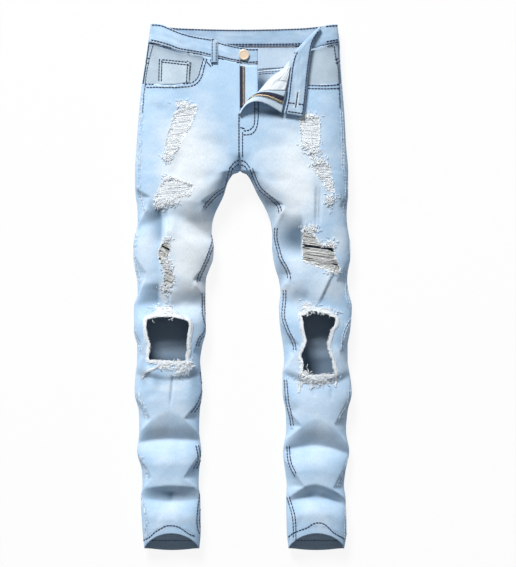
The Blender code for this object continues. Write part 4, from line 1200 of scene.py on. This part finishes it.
def makeFacing(leg):
    sink, (columns, rows) = inwardBy(leg, facing["drop"]), facing["size"]
    innerAcross = leg.across(facing["innerOut"][leg.name], 80 * mm)

    def surface(i, j):
        across = mix(-0.985, innerAcross, (j / columns) ** 1.5)
        down = mix(waistSeam(leg, across) + form["waistGap"] + facing["drop"], facing["end"], i / rows)
        return sink(across, down), leg.out(across, down), down

    def tint(out, down):
        below = down - read(bandFront[leg.name], "seam", out * mm, by="out") / mm
        # painted shade on the facing, strongest just below the band's seam where the band's shadow falls
        shade = (0.08 if leg.side > 0 else 0.2) + 0.5 * bell(below / 9) + 0.12 * rumple(out, down, 22, 6)
        return 0.0, 0.0, 0.0, within(shade), 0.0

    layCloth(
        "facing" + leg.title, facing["size"], surface, "pocket_facing_" + leg.name,
        materials=("facing", "inside"), flip=leg.side > 0, tint=tint,
    )


def makeCoinPocket():
    leg, (columns, rows) = legs["right"], coinPocket["size"]
    sink = inwardBy(leg, coinPocket["drop"])

    def surface(i, j):
        out, top = (mix(*coinPocket[name], j / columns) for name in ("outs", "tops"))
        bottom = coinPocket["bottom"] - 3.9 * smooth((124 - out) / 28)
        out, down = out * mm, mix(top, bottom, i / rows) * mm
        return sink(leg.across(out, down), down), out, down

    layCloth(
        "coinPocket", coinPocket["size"], surface, "coin_pocket", thickness=1.0 * mm,
        materials=("facing", "inside"), tint=wash(0.1, (75, 3, 0.5)),
    )


def onBand(rows, out, share):  # down to a place on the band, from its top edge to its seam
    return mix(read(rows, "top", out, by="out"), read(rows, "seam", out, by="out"), share)


def bandStation(leg, turn, side, share):
    if side == "front":
        out = leg.out(turn, 40 * mm)
        down = onBand(bandFront[leg.name], out, share)
        across = leg.across(out, down) if turn > -1 else -1.0
        return at(leg.side * leg.out(across, down), down, leg.height(across, down))
    return leg.back(turn, onBand(bandBack, leg.backOut(turn, 40 * mm), share))


def turnedBand(place, lift, share):
    line = lineBetween(bandTurned, place)
    out = mix(line["topOut"], line["seamOut"], share)
    down = mix(line["topDown"], line["seamDown"], share)
    return at(out, down, frontHeight(out, down) + lift)


# the waistband's columns, from the lap behind the button round to the end of the turned part
bandPlaces = (
    [("lap", out) for out in linspace(34, 0, 14)]
    + [("frontRight", turn) for turn in linspace(0.97, -0.96, 80)]
    + [("backRight", turn) for turn in linspace(-1, 0.7, 70)]
    + [("backLeft", turn) for turn in linspace(0.68, -1, 70)]
    + [("frontLeft", turn) for turn in linspace(-0.96, -0.68, 11)]
    + [("roll", step) for step in linspace(0, 1, 11)]
    + [("turned", place) for place in linspace(0.03, 1, 62)]
)
bandRows = 14


def bandPoint(kind, value, share):
    if kind == "lap":
        return at(value * mm, onBand(bandFront["right"], -value * mm, share), frontHeight(1 * mm, 60 * mm))
    if kind == "roll":
        return roll(turnedBand(0, 0.0, share), fold["band"], value)
    if kind == "turned":
        return turnedBand(value, 2 * fold["band"], share)
    side = "front" if kind.startswith("front") else "back"
    return bandStation(legs[kind[len(side):].lower()], value, side, share)


def bandTint(run, down):
    seam = 0.6 * bell((down - 36) / 3) + 0.5 * bell((down - 2.5) / 2.5)
    streak = 0.12 + 0.22 * rumple(run * 0.35, down, 7, 6)
    return 0.1, 0.0, min(seam, 1.0), within(streak), 0.0


slitRun = {"start": 0.73, "end": 0.92, "row": 6, "share": 6.5 / bandRows}  # the buttonhole


def makeWaistband():
    walked = [0.0]
    for (kindA, a), (kindB, b) in zip(bandPlaces, bandPlaces[1:]):
        walked.append(walked[-1] + (bandPoint(kindB, b, 0.5) - bandPoint(kindA, a, 0.5)).length)

    def surface(i, j):
        kind, value = bandPlaces[j]
        point = bandPoint(kind, value, i / bandRows)
        puff = 0.5 * mm * math.sin(math.pi * i / bandRows)
        puff += 0.5 * mm * rumple(walked[j], i * 2.6 * mm, 14 * mm, 5)
        if kind != "roll":
            point.z += puff if not kind.startswith("back") else 0.4 * puff
        return point, walked[j], i * 2.8 * mm

    def buttonhole(i, j):
        kind, value = bandPlaces[int(j)]
        return kind == "turned" and slitRun["start"] < value < slitRun["end"] and int(i) == slitRun["row"]

    layCloth(
        "band", (len(bandPlaces) - 1, bandRows), surface, "waistband", flip=True,
        materials=("denim", "bandInside"), thickness=form["band"],
        tint=bandTint, slit=buttonhole,
    )


def faceHeight(out, down):
    leg = legs["right" if out < 0 else "left"]
    return leg.height(leg.across(abs(out), down), down)


flyCloth = {"top": 83 * mm, "end": 168 * mm, "shield": (16, 28), "tape": (6, 26)}
flyShield = table(
    "down  left  right", (83, -14, 34), (105, -14, 34), (127, -14, 34), (148, -14, 31), (168, -14, 22),
)
zipRun = {
    "top": 84 * mm,
    "end": 163 * mm,
    "left": -9 * mm,
    "edge": 5 * mm,
    "pitch": 2.3 * mm,
    "width": 4 * mm,
    "tooth": (1.25 * mm, 1.5 * mm),  # along the tape and up
    "drops": {"shield": 3.4 * mm, "tape": 2.1 * mm, "teeth": 1.6 * mm},  # under the cloth beside the fly
    "place": 0.1325,  # of the left chain on the turned cloth
}


def underFly(out, down, name):
    return at(out, down, faceHeight(out, down) - zipRun["drops"][name])


def makeFly():
    def shield(i, j):
        columns, rows = flyCloth["shield"]
        down = mix(flyCloth["top"], flyCloth["end"], i / rows)
        out = mix(read(flyShield, "left", down), read(flyShield, "right", down), j / columns)
        return underFly(out, down, "shield"), out, down

    def tape(i, j):
        columns, rows = flyCloth["tape"]
        down = mix(zipRun["top"], zipRun["end"], i / rows)
        out = mix(zipRun["left"], zipRun["edge"], j / columns)
        return underFly(out, down, "tape"), out, down

    layCloth(
        "flyShield", flyCloth["shield"], shield, "fly_shield",
        tint=wash(0.1),
    )
    layCloth(
        "zipTapeRight", flyCloth["tape"], tape, "zip_tape_right", slot="zip_tape",
        materials=("tape", "tape"), thickness=0.8 * mm,
    )


flapClear = 0.8 * mm


def onFlap(place, share, off):  # a place above the turned cloth
    step = 0.01
    line = flapPoint(place, share + step) - flapPoint(place, max(share - step, 0.0))
    over = flapPoint(place + step, share) - flapPoint(place - step, share)
    return flapPoint(place, share) + line.cross(over).normalized() * off


# pieces sewn to the turned cloth: their node, the places that they run between, their grid, slot and looks,
# then their thickness, flat size and area, and how much they crinkle
flapPieces = {
    "zipTapeLeft": (
        "zip_tape_left", (0.17, 0.3), (26, 6), "zip_tape", ("tape", "tape"),
        0.8 * mm, (0.06, 0.01), 0.00042, 0.0,
    ),
    "flyFacing": (
        "fly_facing", (0.325, 0.45), (26, 6), "denim_inside", ("inside", "denim"),
        1.2 * mm, (0.05, 0.01), 0.00034, 0.0,
    ),
    "pocketBag": (
        "pocket_bag", (0.475, 0.95), (24, 28), "pocketing", ("pocketing", "pocketing"),
        0.8 * mm, (0.045, 0.045), 0.0015, 1.4 * mm,
    ),
}


def makeFlapPiece(name, node, run, size, slot, materials, thickness, flat, area, crinkle):
    def surface(i, j):
        place, share = mix(run[1], run[0], i / size[1]), mix(0.03, 0.93, j / size[0])
        rise = crinkle * (0.5 + rumple(place * 60 * mm, share * 60 * mm, 7 * mm, 12))
        point = onFlap(place, share, form["denim"] + flapClear + thickness + max(rise, 0.0))
        return point, point.x, point.y

    layCloth(
        name, size, surface, node, slot, materials, thickness=thickness,
    )


def makeTeeth(name, node, places):  # places gives (centre, across, along, up) of each tooth
    mesh = bmesh.new()
    for centre, across, run, up in places:
        made = bmesh.ops.create_cube(mesh, size=1)["verts"]
        for vert in made:
            x, y, z = vert.co
            width = zipRun["width"] * (1 if y > 0 else 0.8)
            vert.co = centre + across * x * width + run * y * zipRun["tooth"][0] + up * z * zipRun["tooth"][1]
    edges = list(mesh.edges)
    bmesh.ops.bevel(mesh, geom=edges, offset=0.2 * mm, segments=1, profile=0.5, material=-1, affect="EDGES")
    bmesh.ops.recalc_face_normals(mesh, faces=mesh.faces)
    finishPiece(name, mesh, ["brass"], "brass", node)


def makeZip():
    right, left = [], []
    down, out = zipRun["top"] + 1 * mm, zipRun["edge"] + 0.3 * mm + 0.5 * zipRun["width"]
    while down < zipRun["end"]:
        centre = underFly(out, down, "teeth")
        right.append((centre, Vector((1, 0, 0)), Vector((0, 1, 0)), Vector((0, 0, 1))))
        down += zipRun["pitch"]
    length = (flapPoint(0.13, 0.95) - flapPoint(0.13, 0.03)).length * 1.08
    count = round(length / zipRun["pitch"])
    for share in linspace(0.04, 0.92, count):
        centre = onFlap(zipRun["place"], share, form["denim"] + 2.2 * mm)
        ahead, behind = (onFlap(zipRun["place"], share + step, 3 * mm) for step in (0.01, -0.01))
        run = (ahead - behind).normalized()
        across = (onFlap(0.16, share, 3 * mm) - onFlap(0.11, share, 3 * mm)).normalized()
        left.append((centre, across, run, run.cross(across)))
    makeTeeth("zipTeethRight", "zip_chain_right", right)
    makeTeeth("zipTeethLeft", "zip_chain_left", left)


# the pieces under the jeans: size of the grid, height over the floor, flat size
backPocket = {"size": (40, 42), "top": 0.35 * mm, "flat": (0.13, 0.14), "tip": 255}
backLoop = {
    "size": (8, 24), "top": 0.3 * mm, "flat": (0.013, 0.047), "half": 6.5, "length": 47,
    "places": (("Back", "back", 0), ("SideRight", "side_right", -112), ("SideLeft", "side_left", 112)),
}

# the pieces on the waistband at the front
loopRight = {"outs": (55, 42), "size": (8, 26), "above": 1.5 * mm, "past": 11 * mm, "over": 2.1 * mm}
loopBow = (0.9 * mm, 0.4 * mm)  # along the loop and across it
loopLeft = {"places": (0.73, 0.66), "shares": (-0.04, 1.04), "size": (24, 8), "sunk": 0.6 * mm}


def makePlate(name, node, corners, plate):
    # corners run over the top edge and back along the lower edge; a tip makes the lower edge pointed
    def surface(i, j):
        u, v = j / plate["size"][0], i / plate["size"][1]
        upper = mix(Vector(corners[0]), Vector(corners[1]), u)
        lower = mix(Vector(corners[3]), Vector(corners[2]), u)
        spot = mix(upper, lower, v)
        if "tip" in plate:
            spot += Vector((0, (plate["tip"] - corners[2][1]) * (1 - abs(2 * u - 1)))) * v
        z = plate["top"] + 0.25 * mm * rumple(spot.x * mm, spot.y * mm, 12 * mm, 6)
        return at(spot.x * mm, spot.y * mm, z), spot.x * mm, spot.y * mm

    layCloth(
        name, plate["size"], surface, node, flip=True, thickness=1.0 * mm,
        tint=wash(0.25),
    )


def makePocketsAndLoops():
    for leg in legs.values():
        middle = leg.side * 96
        corners = [(middle - 66, 112), (middle + 66, 112), (middle + 60, 236), (middle - 60, 236)]
        makePlate("backPocket" + leg.title, "back_pocket_" + leg.name, corners, backPocket)
    for name, node, middle in backLoop["places"]:
        top = read(bandBack, "top", abs(middle) * mm, by="out") / mm - 2
        left, right, end = middle - backLoop["half"], middle + backLoop["half"], top + backLoop["length"]
        corners = [(left, top), (right, top), (right, end), (left, end)]
        makePlate("loop" + name, "belt_loop_" + node, corners, backLoop)
    leg = legs["right"]

    def frontLoop(i, j):
        columns, rows = loopRight["size"]
        out = mix(*loopRight["outs"], j / columns) * mm
        top, seam = (onBand(bandFront["right"], out, share) for share in (0, 1))
        down = mix(top - loopRight["above"], seam + loopRight["past"], i / rows)
        bow = sum(high * math.sin(math.pi * share) for high, share in zip(loopBow, (i / rows, j / columns)))
        return at(-out, down, leg.height(leg.across(out, down), down) + loopRight["over"] + bow), out, down

    def turnedLoop(i, j):
        columns, rows = loopLeft["size"]
        place, share = mix(*loopLeft["places"], i / rows), mix(*loopLeft["shares"], j / columns)
        lift = 2 * fold["band"] - loopLeft["sunk"]
        return turnedBand(place, lift, share), share * 40 * mm, place * 40 * mm

    layCloth(
        "loopFrontRight", loopRight["size"], frontLoop, "belt_loop_front_right",
        thickness=1.2 * mm, tint=wash(0.2, shadeAndDye=0.25),
    )
    layCloth(
        "loopFrontLeft", loopLeft["size"], turnedLoop, "belt_loop_front_left",
        thickness=1.2 * mm,
    )


button = {
    "out": 7.6 * mm, "down": 63 * mm, "radius": 10.2 * mm, "height": 3.6 * mm, "steps": 40,
    # shares of the radius and of the height, from the middle of the dished top round the rim to the post
    "profile": (
        (0, 0.88), (0.45, 0.87), (0.64, 0.86), (0.76, 0.95), (0.87, 1.0), (0.97, 0.9), (1.0, 0.6),
        (0.94, 0.3), (0.6, 0.18), (0.5, 0.0), (0, 0.0),
    ),
}


def makeButton():
    mesh = bmesh.new()
    verts = [mesh.verts.new((r * button["radius"], 0, h * button["height"])) for r, h in button["profile"]]
    edges = [mesh.edges.new(pair) for pair in zip(verts, verts[1:])]
    bmesh.ops.spin(
        mesh, geom=verts + edges, cent=(0, 0, 0), axis=(0, 0, 1), angle=2 * math.pi, steps=button["steps"],
        use_merge=True,
    )
    bmesh.ops.remove_doubles(mesh, verts=mesh.verts, dist=0.01 * mm)
    seat = frontHeight(1 * mm, 60 * mm) + 0.7 * mm
    bmesh.ops.translate(mesh, verts=mesh.verts, vec=at(button["out"], button["down"], seat))
    bmesh.ops.recalc_face_normals(mesh, faces=mesh.faces)
    finishPiece("shankButton", mesh, ["button"], "cream_metal", "button")


makeFrontRight()
makeFrontLeft()
for leg in legs.values():
    makeBack(leg)
makeFacing(legs["right"])
makeFacing(legs["left"])
makeCoinPocket()
makeWaistband()
makeFly()
for name, values in flapPieces.items():
    makeFlapPiece(name, *values)
makeZip()
makePocketsAndLoops()
makeButton()
print("cloth and fittings ready")


def tubes(name, lines, radius, look, slot="stitch"):
    curve = bpy.data.curves.new(name, "CURVE")
    curve.dimensions = "3D"
    curve.bevel_depth = radius
    curve.bevel_resolution = 0
    curve.use_fill_caps = True
    for line in lines:
        spline = curve.splines.new("POLY")
        spline.points.add(len(line) - 1)
        spline.points.foreach_set("co", [c for point in line for c in (*point, 1)])
    holder = bpy.data.objects.new(name + "Curve", curve)
    bpy.context.scene.collection.objects.link(holder)
    bpy.context.view_layer.update()
    data = bpy.data.meshes.new_from_object(holder)
    bpy.data.objects.remove(holder)
    data.name = name
    data.materials.clear()
    data.materials.append(looks[look])
    addPiece(name, data, slot)


stitch = {"period": 6.0, "lift": 0.6 * mm, "radius": 0.9 * mm, "under": 0.5 * mm}


def drop(skin, out, down, sign=1):  # the place of a cloth straight below another, or above it
    return skins[skin].ray_cast(at(out * mm, down * mm, 0.25 * sign), Vector((0, 0, -sign)))[0]


# dashes along lines of (out, down) in mm on a cloth, seen from above or from under it
def sew(found, skin, *lines, lift=stitch["lift"], under=False, side=1, below=1.0):
    sign = -1 if under else 1
    for points in lines:
        walked = evenly([(side * out, down) for out, down in points], stitch["period"] / 8)
        for k in range(0, len(walked) - 6, 8):
            dash = []
            for step, rise in ((0, 0.3), (3, 1.0), (6, 0.3)):
                hit = drop(skin, *walked[k + step], sign)
                if hit is None or hit.z > below:
                    break
                spot = hit + Vector((0, 0, sign * (lift - stitch["lift"] + rise * stitch["lift"])))
                spot.z = max(spot.z, 0.2 * mm)
                dash.append(spot)
            if len(dash) == 3:
                found.append(dash)


def bar(found, skin, points, lift=0.8 * mm, side=1):  # a close row of stitches, as one raised bar
    hits = [drop(skin, *place) for place in evenly([(side * out, down) for out, down in points], 1.0)]
    line = [hit + Vector((0, 0, lift)) for hit in hits if hit]
    if len(line) > 1:
        found.append(line)


def sewFronts():
    dark, pale, bars = [], [], []
    for leg in legs.values():
        skin, side = "front" + leg.title, leg.side
        upper, *lower = outseams[leg.name]
        for line in inseams[leg.name]:
            sew(dark, skin, line, beside(line, doubled[leg.name]), side=side)
        for line in lower:
            sew(pale, skin, line, beside(line, 4), side=side)
        sew(dark, skin, upper, *pocketLines[leg.name], hemLines[leg.name], *flyLines[leg.name], side=side)
        sew(dark, "facing" + leg.title, upper, side=side)
    sew(dark, "frontRight", ((2, 175), (2, 220), (2, 262)), side=-1)
    for skin in ("coinPocket", "facingRight"):
        sew(dark, skin, *coinLines, side=-1)
    for skin, points, side in bartacks:
        bar(bars, skin, points, side=side)
    tubes("stitchesFront", dark, stitch["radius"] * 1.1, "navy")
    tubes("stitchesTonal", pale, stitch["radius"] * 0.9, "pale")
    tubes("bartacks", bars, 0.9 * mm, "navy")


def bandLine(kinds, share):
    return [outDown(bandPoint(kind, value, share)) for kind, value in bandPlaces if kind in kinds]


# rows of stitches round the band: the parts, the shares from the top edge, the cloth between the stitches
# and the outer face, and the greatest height at which they are sewn
bandStitches = (
    (("lap", "frontRight"), (0.07, 0.86, 1.0), 0.0, 1.0),
    (("frontLeft",), (0.07, 0.86, 1.0), 0.0, 1.0),
    (("backRight", "backLeft"), (0.03, 0.86, 0.97), form["band"], 14 * mm),
    (("turned",), (0.06, 0.9), form["band"], 1.0),
)


def sewBand():
    dark, ticks, whip = [], [], []
    for kinds, shares, over, below in bandStitches:
        lines = [bandLine(kinds, share) for share in shares]
        sew(dark, "band", *lines, lift=stitch["lift"] + over, below=below)
    for place in (0.87, 0.97):  # across the turned end
        ends = [outDown(bandPoint("turned", place, share)) for share in (0.04, 0.94)]
        sew(dark, "band", ends, lift=stitch["lift"] + form["band"])
    upper, lower = (evenly(bandLine(("lap", "frontRight"), share), 5.0) for share in (0.9, 0.97))
    for ends in zip(upper[1:], lower):  # the slanting ridges between the two lower rows
        bar(ticks, "band", ends, lift=0.2 * mm)
    for place in linspace(slitRun["start"], slitRun["end"], 15):  # round the buttonhole
        for side in (-1, 1):
            whip.append([
                turnedBand(place, 2 * fold["band"] + form["band"] + rise * mm, slitRun["share"] + side * off)
                for off, rise in ((0.03, 0.0), (0.08, 0.7), (0.13, 0.1))
            ])
    tubes("stitchesBand", dark, stitch["radius"] * 1.3, "navy")
    tubes("ridgesBand", ticks, 0.4 * mm, "pale")
    tubes("stitchesButtonhole", whip, 0.6 * mm, "thread")


insideYoke = (  # seen from inside the open waist
    ((30, 86), (58, 84), (84, 84)), ((30, 92), (54, 90), (78, 89)), ((30, 96), (50, 94), (68, 93)),
)


def straight(corners, steps):  # a line of straight runs, with places between its corners
    places = []
    for start, end in zip(corners, corners[1:]):
        places += [tuple(mix(a, b, t / steps) for a, b in zip(start, end)) for t in range(steps)]
    return places + [corners[-1]]


def sewBacks():
    dark = []
    over = stitch["lift"] + form["denim"]
    for leg in legs.values():
        skin, how = "back" + leg.title, {"under": True, "side": leg.side}
        yoke = [(out, read(yokeSeam, "down", out * mm, by="out") / mm) for out in (3, 40, 80, 120, 160, 186)]
        sew(dark, skin, *([(out, down + off) for out, down in yoke] for off in (3, 8)), **how)
        for out in (5, 10):  # beside the centre seam
            sew(dark, skin, ((out, 95), (out, 180), (out, 258)), **how)
            sew(dark, "yoke" + leg.title, ((out, 46), (out, 86)), **how)
        inner, outer = (
            [(leg.out(across, down * mm) / mm, down) for down in range(start, 990, 30)]
            for across, start in ((0.93, 300), (-0.93, 100))
        )
        hem = [(leg.out(across, 0.98) / mm, 988) for across in linspace(-0.92, 0.92, 13)]
        sew(dark, skin, inner, beside(inner, 5), outer, hem, **how)
        sew(dark, skin, hem, lift=over, side=leg.side)
        for inset in (3, 8):
            rim = (
                (30 + inset, 113), (36 + inset, 236 - inset), (96, 254 - inset * 1.1),
                (156 - inset, 236 - inset), (162 - inset, 113),
            )
            mouthRow = ((31, 114 + inset * 1.6), (161, 114 + inset * 1.6))
            sew(dark, "backPocket" + leg.title, straight(rim, 6), straight(mouthRow, 6), **how)
    for skin in ("yokeLeft", "backLeft"):
        sew(dark, skin, *insideYoke, lift=over)
    tubes("stitchesBack", dark, stitch["under"], "navy")


def sewLoops():
    dark, bars, under = [], [], []
    for out in (52.5, 45):
        sew(dark, "loopFrontRight", ((out, 34), (out, 50), (out, 80)), side=-1)
    for down in (34, 78, 81):
        bar(bars, "loopFrontRight", ((54, down), (43, down - 1)), side=-1)
    for place in (0.675, 0.715):
        sew(dark, "loopFrontLeft", [outDown(turnedBand(place, 0.0, share)) for share in (0.0, 1.0)])
    for name, _, middle in backLoop["places"]:
        for out in (middle - 3.8, middle + 3.8):
            sew(under, "loop" + name, ((out, 12), (out, 30), (out, 54)), under=True)
    tubes("stitchesLoops", dark, stitch["radius"] * 0.8, "navy")
    tubes("stitchesBackLoops", under, stitch["under"], "navy")
    tubes("bartacksLoops", bars, 0.7 * mm, "navy")


def sewFlap():
    for name, place, start, step, radius, look in (
        ("stitchesPocketBag", 0.64, 0.45, 4, 0.5 * mm, "navy"),
        ("seamPocketBag", 0.47, 0.1, 2, 0.9 * mm, "pocketing"),
    ):
        line = [onFlap(place, share, 3.9 * mm) for share in linspace(start, 0.93, 30)]
        tubes(name, [line[k:k + 3] for k in range(0, 28, step)], radius, look)


sewFronts()
sewFlap()
sewBand()
sewLoops()
sewBacks()
print("stitching ready")


def crossings(outline, level):
    runs = zip(outline, outline[1:] + outline[:1])
    return sorted(crossing(*run, level) for run in runs if (run[0][1] > level) != (run[1][1] > level))


def clothSpot(leg, out, down, rise):
    point = leg.frontAt(out * mm, down * mm)
    point.z += rise * mm
    return point


# threads at the rips, in mm
frays = {
    # loose ends: the spacing, and the reach over the cloth and into the rip
    "rip": (0.8, 3.5, 4),
    "hole": (0.5, 7, 2.5),
    # threads along the edge of a hole: the count, the least and the greatest length, and the same reaches
    "edge": (110, 12, 45, 7, 1.5),
    "layers": (-0.3, -0.8, -1.4),  # how high the bare threads lie
    "overlap": 2,  # how far they run into the cloth
    "wander": 0.22,
    "unruly": 0.15,
    "warm": ("slant", "pleat"),  # the rips with darker threads
    "radius": {"bare": 0.5, "warm": 0.46, "loose": 0.42},
    "strayCopies": 9,
}


def weft(leg, rip, base):  # the bare threads left across a rip
    lines = []
    outs = [out for out, _ in rip["outline"]]
    middle = 0.5 * (min(outs) + max(outs))
    slanted = tuple((out, down - rip["tilt"] * (out - middle)) for out, down in rip["outline"])
    level, end = min(down for _, down in slanted) + 0.5, max(down for _, down in slanted)
    whole = 1 if rip["bare"] < 0.1 else 0.3  # a worn rip has more broken threads
    while level < end:
        found = crossings(slanted, level)
        for near, far in zip(found[::2], found[1::2]):
            if random.random() < rip["bare"] * (1 + 3 * max(rumple(middle, level, 6, 11), 0)):
                continue
            near, far = near - frays["overlap"], far + frays["overlap"]
            first, last = random.uniform(-whole, 0.35), random.uniform(0.65, 1 + whole)
            start, stop = mix(near, far, max(first, 0)), mix(near, far, min(last, 1))
            count = max(4, round((stop - start) / 4))
            sag, drift = random.uniform(-0.3, 0.7), random.uniform(-0.7, 0.7) * (1 + 4 * rip["bare"])
            line = []
            for k in range(count + 1):
                out, arc = mix(start, stop, k / count), math.sin(math.pi * k / count)
                wander = random.uniform(-frays["wander"], frays["wander"])
                down = level + rip["tilt"] * (out - middle) + drift * arc + wander
                rise = base - arc * sag + random.uniform(-frays["unruly"], frays["unruly"])
                line.append(clothSpot(leg, out, down, rise))
            lines.append(line)
        level += rip["pitch"] * random.uniform(0.75, 1.25)
    return lines


def edgePlaces(rip):
    return evenly([*rip["outline"], rip["outline"][0]], 1.0)


def inwardAt(rip, edge, k):  # an edge place and the direction from it into the rip
    (out, down), ahead = edge[k % len(edge)], edge[(k + 1) % len(edge)]
    runOut, runDown = ahead[0] - out, ahead[1] - down
    length = math.hypot(runOut, runDown) or 1
    inOut, inDown = -runDown / length, runOut / length
    if toOutline(rip["outline"], out + 2 * inOut, down + 2 * inDown)[0] > 0:
        inOut, inDown = -inOut, -inDown
    return out, down, inOut, inDown


def fringe(leg, rip, spacing, outer, inner):  # loose ends round a rip, from the cloth over its edge
    lines = []
    edge = edgePlaces(rip)
    for _ in range(int(len(edge) / spacing)):
        out, down, inOut, inDown = inwardAt(rip, edge, random.randrange(len(edge)))
        if rip["pitch"] and abs(inDown) < 0.5 and random.random() < 0.8:
            continue
        start, end = -outer * random.uniform(0.2, 1), inner * random.uniform(-0.4, 1)
        bend = random.uniform(-1.2, 1.2)
        line = []
        for s, rise in ((0, 0.3), (0.35, 1.1), (0.7, 1.0), (1, random.uniform(0, 1.2))):
            far, side = mix(start, end, s), bend * s * s * (end - start)
            spotOut, spotDown = out + inOut * far - inDown * side, down + inDown * far + inOut * side
            line.append(clothSpot(leg, spotOut, spotDown, rise))
        lines.append(line)
    return lines


def strands(leg, rip, count, shortest, longest, outer, inner):  # long threads lying along the edge of a hole
    lines = []
    edge = edgePlaces(rip)
    for _ in range(count):
        k, steps = random.randrange(len(edge)), random.randint(shortest, longest)
        inset = random.uniform(-outer, inner)
        line = []
        for s in range(0, steps + 1, 5):
            out, down, inOut, inDown = inwardAt(rip, edge, k + s)
            off = inset * (0.4 + 0.6 * math.sin(math.pi * min(s / steps, 1))) + random.uniform(-0.7, 0.7)
            line.append(clothSpot(leg, out + inOut * off, down + inDown * off, random.uniform(0.6, 1.4)))
        if len(line) > 1:
            lines.append(line)
    return lines


def fluff(leg, out, down, reachOut, reachDown, count, length):
    lines = []
    for _ in range(round(0.7 * count)):
        x, y = random.gauss(out, 0.9 * reachOut), random.gauss(down, 0.9 * reachDown)
        turn, rise = random.uniform(0, 2 * math.pi), random.uniform(0.3, 2.4)
        line = []
        for s in range(5):
            line.append(clothSpot(leg, x, y, 0.4 + rise * math.sin(math.pi * s / 4)))
            turn += random.uniform(-0.9, 0.9)
            x += math.cos(turn) * length / 4
            y += math.sin(turn) * length / 4
        lines.append(line)
    return lines


strays = {
    "right": (
        ((152, 648), (160, 655), (168, 658), (178, 664), (186, 676)), ((100, 646), (96, 658), (99, 670)),
    ),
    "left": (
        ((113, 662), (111, 676), (112, 690), (110, 704)), ((180, 668), (182, 680), (180, 694)),
        ((135, 676), (136, 690), (134, 696)),
    ),
}


def makeFrays():
    for leg in legs.values():
        kinds = {"bare": [], "warm": [], "loose": []}
        loose = kinds["loose"]
        for name, rip in rips[leg.name].items():
            if rip["pitch"]:
                for base in frays["layers"]:
                    kinds["warm" if name in frays["warm"] else "bare"] += weft(leg, rip, base)
                loose += fringe(leg, rip, *frays["rip"])
            else:
                loose += fringe(leg, rip, *frays["hole"])
                loose += strands(leg, rip, *frays["edge"])
        for tuft in tufts[leg.name]:
            loose += fluff(leg, *tuft)
        for line in strays[leg.name]:
            for _ in range(frays["strayCopies"]):
                x, y = random.gauss(0, 1.6), random.gauss(0, 1.2)
                bent = [
                    (out + x + random.gauss(0, 0.7), down + y + random.gauss(0, 0.7))
                    for out, down in evenly(line, 4)
                ]
                loose.append([clothSpot(leg, *place, random.uniform(0.8, 1.6)) for place in bent])
        for kind, lines in kinds.items():
            look = "warm" if kind == "warm" else "thread"
            tubes(kind + "Threads" + leg.title, lines, frays["radius"][kind] * mm, look, "thread")


makeFrays()
print("frays ready")

for node in ("zip_slider", "zip_pull"):
    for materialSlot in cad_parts[node].material_slots:
        materialSlot.material = looks["brass"]


# floor, light and background
studio = {"floor": 6.0, "floorTone": 0.9, "glow": 0.9, "key": 1480, "fill": 2, "world": 0.2}

floorMesh = bmesh.new()
bmesh.ops.create_grid(floorMesh, x_segments=1, y_segments=1, size=studio["floor"] / 2)
floorData = bpy.data.meshes.new("floor")
floorMesh.to_mesh(floorData)
floorMesh.free()
floor = bpy.data.objects.new("floor", floorData)
bpy.context.scene.collection.objects.link(floor)
floor.location.z = -0.0004

floorLook, tree, shader = newLook("floor", (studio["floorTone"],) * 3 + (1,), 0.9)
rays = tree.nodes.new("ShaderNodeLightPath")
glow = tree.nodes.new("ShaderNodeEmission")
glow.inputs["Color"].default_value = (1, 1, 1, 1)
glow.inputs["Strength"].default_value = 1
seen = rays.outputs["Is Camera Ray"]
for kind in ("Is Glossy Ray", "Is Transmission Ray"):
    seen = maths(tree, "ADD", seen, rays.outputs[kind])
share = maths(tree, "MULTIPLY", seen, studio["glow"])
blend = tree.nodes.new("ShaderNodeMixShader")
wire(tree, share, blend.inputs[0])
wire(tree, shader.outputs[0], blend.inputs[1])
wire(tree, glow.outputs[0], blend.inputs[2])
wire(tree, blend.outputs[0], tree.nodes["Material Output"].inputs["Surface"])
floorData.materials.append(floorLook)

world = bpy.data.worlds.new("studio")
world.use_nodes = True
bpy.context.scene.world = world
tree = world.node_tree
back = tree.nodes["Background"]
direct = tree.nodes.new("ShaderNodeLightPath").outputs["Is Camera Ray"]
wire(tree, mixColour(tree, direct, (0.82, 0.91, 1.0, 1), (1, 1, 1, 1)), back.inputs["Color"])
wire(tree, ranged(tree, direct, 0, 1, studio["world"], 1.0), back.inputs["Strength"])


def addLamp(name, place, aim, size, power):
    lamp = bpy.data.lights.new(name, "AREA")
    lamp.shape = "RECTANGLE"
    lamp.size, lamp.size_y = size
    lamp.energy = power
    holder = bpy.data.objects.new(name, lamp)
    bpy.context.scene.collection.objects.link(holder)
    holder.location = place
    holder.rotation_euler = (Vector(aim) - Vector(place)).to_track_quat("-Z", "Y").to_euler()


addLamp("key", (-2.9, 8.2, 6.3), (0, 0, 0), (3.6, 2.4), studio["key"])
addLamp("fill", (0.4, 0.2, 2.6), (0, 0, 0), (1.8, 1.8), studio["fill"])
bpy.context.scene.view_settings.view_transform = "Standard"
print("light ready")
